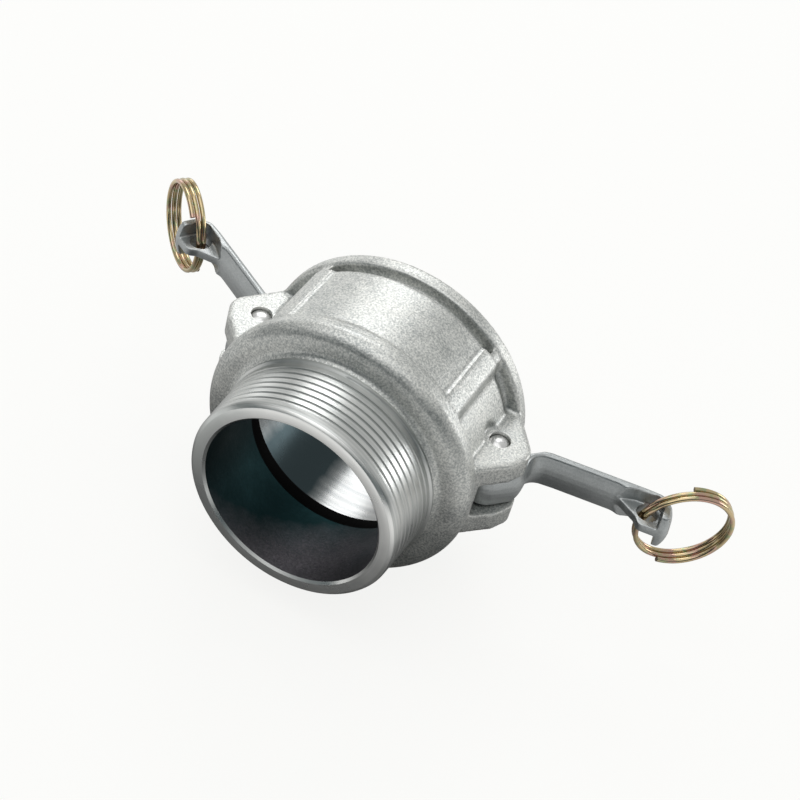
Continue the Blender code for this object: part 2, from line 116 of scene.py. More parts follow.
def arc(centre: Point2, radius: float, start: float, end: float, steps: int) -> List[Point2]:
    """Points of an arc in the plane of an outline.

    Args:
        centre: The arc's centre.
        radius: The arc's radius.
        start: The first point's angle in degrees.
        end: The last point's angle in degrees.
        steps: The number of straight pieces.

    Returns:
        The points from start to end.
    """
    points = []
    for step in range(steps + 1):
        angle = math.radians(start + (end - start) * step / steps)
        points.append((centre[0] + radius * math.cos(angle), centre[1] + radius * math.sin(angle)))
    return points


def rounded(corners: Sequence[Point3], step_degrees: float = 7.5) -> List[Point2]:
    """Rounds the corners of an outline.

    Args:
        corners: The corners as x, y and the radius of the round, 0 for a sharp one.
        step_degrees: The largest turn from one straight piece of a round to the next.

    Returns:
        The outline's points in the order of the corners.
    """
    points: List[Point2] = []
    for index, (x, y, radius) in enumerate(corners):
        before = corners[index - 1]
        after = corners[(index + 1) % len(corners)]
        if radius == 0:
            points.append((x, y))
            continue
        back = math.atan2(before[1] - y, before[0] - x)
        ahead = math.atan2(after[1] - y, after[0] - x)
        turn = (ahead - back + math.pi) % (2 * math.pi) - math.pi
        half = abs(turn) / 2
        room = min(math.hypot(before[0] - x, before[1] - y), math.hypot(after[0] - x, after[1] - y))
        tangent = min(radius / math.tan(half), ROOM_SHARE * room)
        radius = tangent * math.tan(half)
        away = radius / math.sin(half)
        centre = (x + away * math.cos(back + turn / 2), y + away * math.sin(back + turn / 2))
        first = (x + tangent * math.cos(back), y + tangent * math.sin(back))
        start = math.atan2(first[1] - centre[1], first[0] - centre[0])
        sweep = -math.copysign(math.pi - abs(turn), turn)
        steps = max(FEWEST_STEPS, math.ceil(math.degrees(abs(sweep)) / step_degrees))
        end = math.degrees(start + sweep)
        points += arc(centre, radius, math.degrees(start), end, steps)
    return points


class Bench:
    """The workbench: Blender's operators, each used on one piece at a time."""

    @staticmethod
    def pick(obj: bpy.types.Object, *others: bpy.types.Object) -> None:
        """Selects these objects alone and makes the first one active.

        Args:
            obj: The object to make active.
            *others: The other objects to select.
        """
        bpy.ops.object.select_all(action="DESELECT")
        for each in (obj, *others):
            each.select_set(True)
        bpy.context.view_layer.objects.active = obj

    @staticmethod
    def settle(obj: bpy.types.Object, place: Optional[Matrix] = None) -> None:
        """Moves an object to its place and puts that place into its mesh.

        Args:
            obj: The object.
            place: Its place in the coupler's frame, or None to leave it where it is.
        """
        if place is not None:
            obj.matrix_world = place @ obj.matrix_world
        Bench.pick(obj)
        bpy.ops.object.transform_apply(location=True, rotation=True, scale=True)

    @staticmethod
    @contextmanager
    def editing() -> Iterator[None]:
        """Edit mode on the active object, with all of it selected, and object mode at the end.

        Yields:
            Nothing, once edit mode is on.
        """
        bpy.ops.object.mode_set(mode="EDIT")
        bpy.ops.mesh.select_all(action="SELECT")
        yield
        bpy.ops.object.mode_set(mode="OBJECT")

    @staticmethod
    def draw(name: str, points: Sequence[Point3]) -> bpy.types.Object:
        """Draws a line through points, by extruding one vertex from each to the next.

        Args:
            name: The new object's name.
            points: The points in the coupler's frame.

        Returns:
            An object of joined edges.
        """
        bpy.ops.mesh.primitive_plane_add(size=MM, location=points[0])
        obj = bpy.context.object
        obj.name = name
        with Bench.editing():
            bpy.ops.mesh.merge(type="CENTER")
            for before, after in zip(points, points[1:]):
                step = Vector(after) - Vector(before)
                bpy.ops.mesh.extrude_region_move(TRANSFORM_OT_translate={"value": step})
            bpy.ops.mesh.select_all(action="SELECT")
            bpy.ops.mesh.remove_doubles(threshold=MERGE)
        Bench.settle(obj)
        return obj

    @staticmethod
    def tidy_mesh() -> None:
        """Joins the doubled points of the mesh in edit mode and turns its faces outwards."""
        bpy.ops.mesh.select_all(action="SELECT")
        bpy.ops.mesh.remove_doubles(threshold=MERGE)
        bpy.ops.mesh.normals_make_consistent(inside=False)

    @staticmethod
    def turned(
        name: str, profile: Sequence[Point2], steps: int, centre: Optional[Point3] = None
    ) -> bpy.types.Object:
        """Spins a profile once round the flow axis, or round an upright axis through a pin.

        Args:
            name: The new object's name.
            profile: Points as radius and place along the axis. It is closed by its last side, and a
                profile that starts and ends on the axis gives a solid one.
            steps: The number of sides.
            centre: A point of the upright axis, or None for the flow axis.

        Returns:
            The turned solid.
        """
        closed = list(profile)
        if profile[0][0] > 0 or profile[-1][0] > 0:
            closed.append(profile[0])
        if centre is None:
            points = [(radius, along, 0.0) for radius, along in closed]
            about, axis = (0.0, 0.0, 0.0), (0.0, 1.0, 0.0)
        else:
            points = [(centre[0] + radius, centre[1], centre[2] + along) for radius, along in closed]
            about, axis = centre, (0.0, 0.0, 1.0)
        obj = Bench.draw(name, points)
        with Bench.editing():
            bpy.ops.mesh.spin(steps=steps, angle=2 * math.pi, center=about, axis=axis)
            Bench.tidy_mesh()
        return obj

    @staticmethod
    def prism(
        name: str, outline: Sequence[Point2], half: float, place: Matrix, edge: float
    ) -> bpy.types.Object:
        """Fills an outline, extrudes it and rounds its edges.

        Args:
            name: The new object's name.
            outline: The outline in the XY plane.
            half: The thickness to each side of that plane.
            place: The solid's place in the coupler's frame.
            edge: The width of the rounded edges.

        Returns:
            The solid in its place.
        """
        points = [(x, y, -half) for x, y in outline]
        obj = Bench.draw(name, points + points[:1])
        with Bench.editing():
            bpy.ops.mesh.edge_face_add()
            bpy.ops.mesh.extrude_region_move(TRANSFORM_OT_translate={"value": (0, 0, 2 * half)})
            Bench.tidy_mesh()
        limits = {"limit_method": "ANGLE", "angle_limit": EDGE_LIMIT}
        Bench.modify(obj, "BEVEL", width=edge, segments=EDGE_SEGMENTS, **limits)
        Bench.settle(obj, place)
        return obj

    @staticmethod
    def modify(obj: bpy.types.Object, kind: str, **settings: object) -> None:
        """Adds a modifier and applies it.

        Args:
            obj: The object to change.
            kind: The modifier's type.
            **settings: The modifier's settings.
        """
        Bench.pick(obj)
        bpy.ops.object.modifier_add(type=kind)
        modifier = obj.modifiers[-1]
        for key, value in settings.items():
            setattr(modifier, key, value)
        bpy.ops.object.modifier_apply(modifier=modifier.name)

    @staticmethod
    def cut(obj: bpy.types.Object, *cutters: bpy.types.Object) -> None:
        """Cuts solids out of a piece and clears them away.

        Args:
            obj: The piece.
            *cutters: The closed solids to cut with.
        """
        for cutter in cutters:
            Bench.modify(obj, "BOOLEAN", operation="DIFFERENCE", solver="MANIFOLD", object=cutter)
            bpy.data.objects.remove(cutter)

    @staticmethod
    def join(obj: bpy.types.Object, others: Sequence[bpy.types.Object]) -> None:
        """Joins other objects into one."""
        Bench.pick(obj, *others)
        bpy.ops.object.join()

    @staticmethod
    def fuse(obj: bpy.types.Object, voxel: float, rounds: int) -> None:
        """Melts overlapping solids into one even skin, and softens its edges as sand casting does.

        Args:
            obj: The object with the overlapping solids.
            voxel: The size of the skin's faces.
            rounds: How often the skin is smoothed.
        """
        Bench.modify(obj, "REMESH", mode="VOXEL", voxel_size=voxel)
        if rounds:
            Bench.modify(obj, "SMOOTH", factor=0.5, iterations=rounds)

    @staticmethod
    def shade(obj: bpy.types.Object, degrees: float) -> None:
        """Shades an object smooth up to an angle between faces."""
        Bench.pick(obj)
        bpy.ops.object.shade_smooth_by_angle(angle=math.radians(degrees))

    @staticmethod
    def paint(
        obj: bpy.types.Object,
        material: bpy.types.Material,
        *others: Tuple[bpy.types.Material, Callable[[Vector], bool]],
    ) -> None:
        """Gives a piece its material, and some of its faces other ones.

        Args:
            obj: The piece.
            material: The material of most faces.
            *others: Each other material, with what says from a face's centre whether it takes it.
        """
        obj.data.materials.clear()
        obj.data.materials.append(material)
        for other, _ in others:
            obj.data.materials.append(other)
        for face in obj.data.polygons:
            taken = [number for number, (_, where) in enumerate(others, 1) if where(face.center)]
            face.material_index = taken[0] if taken else 0

    @staticmethod
    def mount(obj: bpy.types.Object, body: str, nodes: Sequence[str], slot: str) -> None:
        """Ties a finished piece to the CAD model.

        Args:
            obj: The piece.
            body: The CAD body that it rides on.
            nodes: The CAD nodes that it stands for.
            slot: The record's material slot; not used.
        """
        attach(obj, body)
        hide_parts(*nodes)
        LOG.info("%s: %d faces, rides on %s", obj.name, len(obj.data.polygons), body)


# Finishes


class NodeSheet:
    """A node tree with short ways to add and link nodes."""

    MIX_FIRST = 6
    MIX_SECOND = 7
    MIX_RESULT = 2

    def __init__(self, tree: bpy.types.NodeTree) -> None:
        """Keeps the tree to draw on."""
        self.tree = tree

    def give(self, node: bpy.types.Node, key: object, value: object) -> None:
        """Links a socket to a node's input, or sets the input's own value.

        Args:
            node: The node.
            key: The input's name or number.
            value: The socket or the value.
        """
        if isinstance(value, bpy.types.NodeSocket):
            self.tree.links.new(value, node.inputs[key])
        else:
            node.inputs[key].default_value = value

    def add(
        self, kind: str, values: Optional[Dict[object, object]] = None, **settings: object
    ) -> bpy.types.Node:
        """Adds a node.

        Args:
            kind: The node's type.
            values: Default values, or sockets to link from, by the input's name or number.
            **settings: The node's own settings.

        Returns:
            The node.
        """
        node = self.tree.nodes.new(kind)
        for key, value in settings.items():
            setattr(node, key, value)
        for key, value in (values or {}).items():
            self.give(node, key, value)
        return node

    def math(self, operation: str, first: object, second: object = 0.0) -> bpy.types.NodeSocket:
        """One Math node's result, from two numbers or sockets."""
        return self.add("ShaderNodeMath", {0: first, 1: second}, operation=operation).outputs[0]

    def weigh(
        self, first: object, first_share: object, second: object, second_share: object
    ) -> bpy.types.NodeSocket:
        """The sum of two values, each times its share."""
        return self.math(
            "ADD",
            self.math("MULTIPLY", first, first_share),
            self.math("MULTIPLY", second, second_share),
        )

    def blend(self, factor: object, first: object, second: object) -> bpy.types.NodeSocket:
        """A colour between two, each a colour or a socket, by a factor.

        Args:
            factor: The second one's share.
            first: The one at 0.
            second: The one at 1.

        Returns:
            The blended colour.
        """
        start, end = [(*tone, 1.0) if isinstance(tone, tuple) else tone for tone in (first, second)]
        values = {"Factor": factor, self.MIX_FIRST: start, self.MIX_SECOND: end}
        return self.add("ShaderNodeMix", values, data_type="RGBA").outputs[self.MIX_RESULT]

    def ramp(self, value: bpy.types.NodeSocket, low: float, high: float) -> bpy.types.NodeSocket:
        """A value stretched so that low gives 0 and high gives 1."""
        node = self.add("ShaderNodeMapRange", {"Value": value, "From Min": low, "From Max": high})
        return node.outputs[0]

    def noise(
        self, place: object, scale: object, detail: float = 2.0, roughness: float = 0.5
    ) -> bpy.types.NodeSocket:
        """A noise value at a place, with its scale in waves a metre."""
        values = {"Vector": place, "Scale": scale, "Detail": detail, "Roughness": roughness}
        return self.add("ShaderNodeTexNoise", values).outputs[0]

    def line_noise(self, along: object, detail: float) -> bpy.types.NodeSocket:
        """A noise value that changes along one number only."""
        values = {"W": along, "Scale": 1.0, "Detail": detail}
        return self.add("ShaderNodeTexNoise", values, noise_dimensions="1D").outputs[0]


class SharedEffects:
    """Node groups for the effects that more than one finish uses, each built once.

    A pair of numbers that ends in RANGE gives the values of a noise or of the pointiness between which
    an effect grows from nothing to all.
    """

    SAND_WAVES = 0.55
    SAND_SHARE = 0.35
    FINE_SHARE = 0.65
    FINE_RANGE = (0.38, 0.62)
    BROAD_WAVES = 0.06
    BROAD_RANGE = (0.3, 0.7)
    FACE_FEED = 1.37
    STREAK_WAVES = 0.23
    PATCH_WAVES = 70.0
    PATCH_RANGE = (0.2, 0.6)
    RUB_WAVES = 900.0
    RUB_RANGE = (0.25, 0.65)
    EDGE_RANGE = (0.51, 0.56)
    # Pointiness over which a hollow goes from no painted shade to full painted shade
    HOLLOW_SHADE_RANGE = (0.49, 0.43)

    def __init__(self) -> None:
        """Builds the groups."""
        self.grain = self._build_grain()
        self.turning = self._build_turning()
        self.wear_and_shade = self._build_wear_and_shade()

    @staticmethod
    def _open(
        name: str, numbers: Sequence[str], results: Sequence[str]
    ) -> Tuple[NodeSheet, bpy.types.Node]:
        """Starts a node group that takes a place and numbers, and puts out numbers.

        Args:
            name: The group's name.
            numbers: The names of the numbers that go in.
            results: The names of the numbers that come out.

        Returns:
            The group's sheet, and the node that holds what goes in.
        """
        tree = bpy.data.node_groups.new(name, "ShaderNodeTree")
        tree.interface.new_socket("Place", in_out="INPUT", socket_type="NodeSocketVector")
        for label in numbers:
            tree.interface.new_socket(label, in_out="INPUT", socket_type="NodeSocketFloat")
        for label in results:
            tree.interface.new_socket(label, in_out="OUTPUT", socket_type="NodeSocketFloat")
        sheet = NodeSheet(tree)
        return sheet, sheet.add("NodeGroupInput")

    def _build_grain(self) -> bpy.types.NodeTree:
        """The sandy skin of a casting: its height, and its fine and its broad mottling.

        Returns:
            The group.
        """
        sheet, inside = self._open("cast_grain", ["Waves"], ["Height", "Speckle", "Mottle"])
        place, waves = inside.outputs["Place"], inside.outputs["Waves"]
        fine = sheet.noise(place, waves, detail=4.0, roughness=0.68)
        sand_values = {"Vector": place, "Scale": sheet.math("MULTIPLY", waves, self.SAND_WAVES)}
        sand = sheet.add("ShaderNodeTexVoronoi", sand_values).outputs["Distance"]
        broad_scale = sheet.math("MULTIPLY", waves, self.BROAD_WAVES)
        broad = sheet.noise(place, broad_scale, detail=4.0, roughness=0.6)
        results = {
            "Height": sheet.weigh(fine, self.FINE_SHARE, sand, self.SAND_SHARE),
            "Speckle": sheet.ramp(fine, *self.FINE_RANGE),
            "Mottle": sheet.ramp(broad, *self.BROAD_RANGE),
        }
        sheet.add("NodeGroupOutput", results)
        return sheet.tree

    def _build_turning(self) -> bpy.types.NodeTree:
        """The lathe's marks: fine rings round the flow axis, on faces that run either way.

        Returns:
            The group.
        """
        sheet, inside = self._open("turning_marks", ["Waves"], ["Height", "Streak"])
        place = inside.outputs["Place"]
        x, along, z = sheet.add("ShaderNodeSeparateXYZ", {0: place}).outputs
        radius = sheet.math("SQRT", sheet.weigh(x, x, z, z))
        feed = sheet.math("ADD", along, sheet.math("MULTIPLY", radius, self.FACE_FEED))
        rings = sheet.math("MULTIPLY", feed, inside.outputs["Waves"])
        fine = sheet.line_noise(rings, detail=3.0)
        patch = sheet.ramp(sheet.noise(place, self.PATCH_WAVES, detail=3.0), *self.PATCH_RANGE)
        streak = sheet.line_noise(sheet.math("MULTIPLY", rings, self.STREAK_WAVES), detail=4.0)
        results = {
            "Height": sheet.math("MULTIPLY", fine, patch),
            "Streak": sheet.ramp(streak, *self.BROAD_RANGE),
        }
        sheet.add("NodeGroupOutput", results)
        return sheet.tree

    def _build_wear_and_shade(self) -> bpy.types.NodeTree:
        """Where edges are rubbed bright, and where hollows get painted shade.

        Returns:
            The group.
        """
        sheet, inside = self._open("edge_wear_and_hollow_shade", [], ["Edge", "Hollow"])
        point = sheet.add("ShaderNodeNewGeometry").outputs["Pointiness"]
        rub = sheet.noise(inside.outputs["Place"], self.RUB_WAVES, detail=3.0)
        edge = sheet.math("MULTIPLY", sheet.ramp(point, *self.EDGE_RANGE), sheet.ramp(rub, *self.RUB_RANGE))
        # Hollow marks where the hollows get painted shade
        sheet.add("NodeGroupOutput", {"Edge": edge, "Hollow": sheet.ramp(point, *self.HOLLOW_SHADE_RANGE)})
        return sheet.tree


@dataclass(frozen=True)
class Stain:
    """A patch of painted shade on a wall: its place along an axis, how its edges fade, and how they wander.
    """

    axis: Point3
    colour: Colour
    edges: Tuple[Span, ...]
    wander: float
    waves: float = 110.0

    def lay(
        self, sheet: NodeSheet, place: bpy.types.NodeSocket, skin: bpy.types.NodeSocket
    ) -> bpy.types.NodeSocket:
        """Lays the patch of painted shade over a colour.

        Args:
            sheet: The material's sheet.
            place: The place on the object.
            skin: The colour below.

        Returns:
            The colour with the patch on it.
        """
        along = sheet.add("ShaderNodeVectorMath", {0: place, 1: self.axis}, operation="DOT_PRODUCT")
        noise = sheet.noise(place, self.waves, detail=4.0, roughness=0.6)
        drift = sheet.math("MULTIPLY", sheet.math("SUBTRACT", noise, NOISE_MIDDLE), self.wander)
        reach = sheet.math("ADD", along.outputs["Value"], drift)
        share = sheet.ramp(reach, *self.edges[0])
        for edge in self.edges[1:]:
            share = sheet.math("MULTIPLY", share, sheet.ramp(reach, *edge))
        return sheet.blend(share, skin, self.colour)


@dataclass(frozen=True, kw_only=True)
class Finish:
    """What every finish has: its name, its even values, its relief, and painted shade where it has one.

    Bump is the strength of the relief and depth its height. Roughness goes from its first value to its
    second.
    """

    name: str
    bump: float
    depth: float
    roughness: Span
    metallic: float = 1.0
    specular: float = 0.5
    stain: Optional[Stain] = None

    def surface(self, sheet: NodeSheet, place: bpy.types.NodeSocket, effects: SharedEffects) -> Surface:
        """The finish's own pattern.

        Args:
            sheet: The material's sheet.
            place: The place on the object.
            effects: The shared effects.

        Returns:
            The colour, the roughness from 0 to 1, and the relief from 0 to 1.
        """
        raise NotImplementedError

    def make(self, effects: SharedEffects) -> bpy.types.Material:
        """Builds the material: the finish's own pattern, with the painted shade laid over it.

        Args:
            effects: The shared effects.

        Returns:
            The material.
        """
        material = bpy.data.materials.new(self.name)
        material.use_nodes = True
        sheet = NodeSheet(material.node_tree)
        place = sheet.add("ShaderNodeTexCoord").outputs["Object"]
        skin, share, height = self.surface(sheet, place, effects)
        # Painted shade laid over the finish's own colour
        if self.stain:
            skin = self.stain.lay(sheet, place, skin)
        low, high = self.roughness
        relief = {"Height": height, "Distance": self.depth, "Strength": self.bump}
        values = {
            "Base Color": skin,
            "Roughness": sheet.math("ADD", sheet.math("MULTIPLY", share, high - low), low),
            "Metallic": self.metallic,
            "Specular IOR Level": self.specular,
            "Normal": sheet.add("ShaderNodeBump", relief).outputs[0],
        }
        for key, value in values.items():
            sheet.give(material.node_tree.nodes["Principled BSDF"], key, value)
        return material


@dataclass(frozen=True, kw_only=True)
class CastFinish(Finish):
    """Sand-cast or tumbled aluminium, with a sandy grain, painted shade in its hollows and edges rubbed
    bright.
    """

    light: Colour
    dark: Colour
    edge: Colour
    # The colour painted into hollows and its share: painted shade
    hollow: Colour
    waves: float
    speckle_share: float = 0.7
    mottle_share: float = 0.3
    edge_share: float = 0.7
    hollow_shade_share: float = 0.75

    def surface(self, sheet: NodeSheet, place: bpy.types.NodeSocket, effects: SharedEffects) -> Surface:
        """The grain, with the rubbed edges and the painted shade of the hollows over it.

        Args:
            sheet: The material's sheet.
            place: The place on the object.
            effects: The shared effects.

        Returns:
            The colour, the roughness from 0 to 1, and the relief from 0 to 1.
        """
        values = {"Place": place, "Waves": self.waves}
        grain = sheet.add("ShaderNodeGroup", values, node_tree=effects.grain).outputs
        wear_and_shade = sheet.add("ShaderNodeGroup", {"Place": place}, node_tree=effects.wear_and_shade).outputs
        tone = sheet.weigh(grain["Speckle"], self.speckle_share, grain["Mottle"], self.mottle_share)
        skin = sheet.blend(tone, self.dark, self.light)
        skin = sheet.blend(sheet.math("MULTIPLY", wear_and_shade["Edge"], self.edge_share), skin, self.edge)
        # Hollows darken towards the hollow colour: painted shade
        skin = sheet.blend(sheet.math("MULTIPLY", wear_and_shade["Hollow"], self.hollow_shade_share), skin, self.hollow)
        return skin, grain["Mottle"], grain["Height"]


@dataclass(frozen=True, kw_only=True)
class TurnedFinish(Finish):
    """Metal turned on a lathe, with fine rings round the flow axis and faint smudges."""

    light: Colour
    dark: Colour
    depth: float = 0.03 * MM
    roughness: Span = (0.25, 0.4)
    waves: float = 2500.0
    streak_share: float = 0.6
    smudge_share: float = 0.4
    smudge_waves: float = 45.0
    smudge_range: Span = (0.3, 0.7)

    def surface(self, sheet: NodeSheet, place: bpy.types.NodeSocket, effects: SharedEffects) -> Surface:
        """The lathe's streaks and rings, with smudges over them.

        Args:
            sheet: The material's sheet.
            place: The place on the object.
            effects: The shared effects.

        Returns:
            The colour, the roughness from 0 to 1, and the relief from 0 to 1.
        """
        values = {"Place": place, "Waves": self.waves}
        marks = sheet.add("ShaderNodeGroup", values, node_tree=effects.turning).outputs
        smudge = sheet.noise(place, self.smudge_waves, detail=4.0, roughness=0.6)
        smudge = sheet.ramp(smudge, *self.smudge_range)
        tone = sheet.weigh(marks["Streak"], self.streak_share, smudge, self.smudge_share)
        return sheet.blend(tone, self.dark, self.light), smudge, marks["Height"]


@dataclass(frozen=True, kw_only=True)
class PlatedFinish(Finish):
    """Yellow plated wire, whose thin film turns from gold to pink and green in patches."""

    depth: float = 0.02 * MM
    roughness: Span = (0.1, 0.2)
    gold: Colour = (0.58, 0.46, 0.27)
    pink: Colour = (0.58, 0.38, 0.30)
    green: Colour = (0.40, 0.43, 0.25)
    pink_waves: float = 160.0
    pink_range: Span = (0.48, 0.62)
    green_waves: float = 310.0
    green_range: Span = (0.52, 0.68)
    smear_waves: float = 900.0
    grain_waves: float = 2600.0

    def surface(self, sheet: NodeSheet, place: bpy.types.NodeSocket, effects: SharedEffects) -> Surface:
        """The film's colours, with smears of roughness and a fine grain.

        Args:
            sheet: The material's sheet.
            place: The place on the object.
            effects: The shared effects.

        Returns:
            The colour, the roughness from 0 to 1, and the relief from 0 to 1.
        """
        pink = sheet.ramp(sheet.noise(place, self.pink_waves), *self.pink_range)
        green = sheet.ramp(sheet.noise(place, self.green_waves), *self.green_range)
        film = sheet.blend(green, sheet.blend(pink, self.gold, self.pink), self.green)
        return film, sheet.noise(place, self.smear_waves), sheet.noise(place, self.grain_waves)


@dataclass(frozen=True, kw_only=True)
class RubberFinish(Finish):
    """Moulded black rubber with a trace of talc."""

    metallic: float = 0.0
    specular: float = 0.02
    depth: float = 0.05 * MM
    roughness: Span = (0.55, 0.7)
    light: Colour = (0.005, 0.005, 0.006)
    dark: Colour = (0.002, 0.002, 0.002)
    talc_waves: float = 260.0
    talc_range: Span = (0.5, 0.8)
    grain_waves: float = 1500.0

    def surface(self, sheet: NodeSheet, place: bpy.types.NodeSocket, effects: SharedEffects) -> Surface:
        """Black, with talc in patches and a moulded grain.

        Args:
            sheet: The material's sheet.
            place: The place on the object.
            effects: The shared effects.

        Returns:
            The colour, the roughness from 0 to 1, and the relief from 0 to 1.
        """
        talc = sheet.noise(place, self.talc_waves, detail=5.0, roughness=0.7)
        talc = sheet.ramp(talc, *self.talc_range)
        grain = sheet.noise(place, self.grain_waves, detail=3.0)
        return sheet.blend(talc, self.dark, self.light), talc, grain


class Finishes:
    """All the finishes of the coupler, each made once."""

    def __init__(self) -> None:
        """Makes the materials."""
        effects = SharedEffects()
        self.cast = CastFinish(
            name="sand_cast_skin",
            bump=0.8,
            light=(0.86, 0.86, 0.825),
            dark=(0.31, 0.33, 0.33),
            edge=(0.88, 0.88, 0.85),
            hollow=(0.24, 0.26, 0.26),
            waves=1250.0,
            depth=0.18 * MM,
            roughness=(0.38, 0.5),
        ).make(effects)
        self.arm = CastFinish(
            name="tumbled_arm_skin",
            bump=0.35,
            light=(0.52, 0.54, 0.54),
            dark=(0.38, 0.40, 0.405),
            edge=(0.62, 0.63, 0.63),
            hollow=(0.17, 0.18, 0.19),
            waves=1700.0,
            depth=0.07 * MM,
            roughness=(0.34, 0.48),
        ).make(effects)
        # The waterway's colours, far darker than the outside's, are painted shade of the bore, and its
        # patch, darkest deeper into the bore, is painted shade too
        self.waterway = CastFinish(
            name="cored_waterway_painted_shade",
            bump=0.6,
            light=(0.21, 0.19, 0.215),
            dark=(0.075, 0.072, 0.088),
            edge=(0.12, 0.12, 0.125),
            hollow=(0.02, 0.03, 0.035),
            waves=1000.0,
            depth=0.16 * MM,
            roughness=(0.42, 0.6),
            stain=Stain(
                axis=(0.6, -1.0, -0.3),
                colour=(0.007, 0.026, 0.029),
                edges=((6 * MM, -19 * MM),),
                wander=16 * MM,
            ),
        ).make(effects)
        self.turned = TurnedFinish(
            name="turned_thread_face", bump=0.5, light=(0.68, 0.685, 0.67), dark=(0.46, 0.48, 0.475)
        ).make(effects)
        # The end is really faced, but its colours, brighter than the turned thread's, are painted light; its
        # patch, darker towards negative X, is painted shade
        self.faced = TurnedFinish(
            name="faced_rim_painted_light",
            bump=0.5,
            light=(0.97, 0.97, 0.95),
            dark=(0.80, 0.81, 0.80),
            roughness=(0.24, 0.38),
            stain=Stain(
                axis=(1.0, 0.0, 0.0),
                colour=(0.62, 0.64, 0.63),
                edges=((-16 * MM, -34 * MM),),
                wander=14 * MM,
            ),
        ).make(effects)
        # The socket's colours, darker than the thread's, are painted shade inside the socket; its dark band,
        # at X from about -33 to -12 mm, is a painted reflection of a dark room
        self.socket = TurnedFinish(
            name="turned_socket_wall_painted_shade",
            bump=0.35,
            light=(0.44, 0.445, 0.44),
            dark=(0.27, 0.28, 0.285),
            waves=1900.0,
            roughness=(0.2, 0.34),
            stain=Stain(
                axis=(1.0, 0.0, 0.0),
                colour=(0.035, 0.05, 0.055),
                edges=((-47 * MM, -33 * MM), (-3 * MM, -12 * MM)),
                wander=5 * MM,
            ),
        ).make(effects)
        self.steel = TurnedFinish(
            name="pin_end_steel",
            bump=0.3,
            light=(0.80, 0.80, 0.79),
            dark=(0.60, 0.60, 0.60),
            roughness=(0.2, 0.32),
        ).make(effects)
        self.plated = PlatedFinish(name="yellow_plated_wire", bump=0.3).make(effects)
        self.rubber = RubberFinish(name="gasket_rubber", bump=0.4).make(effects)


# The pieces


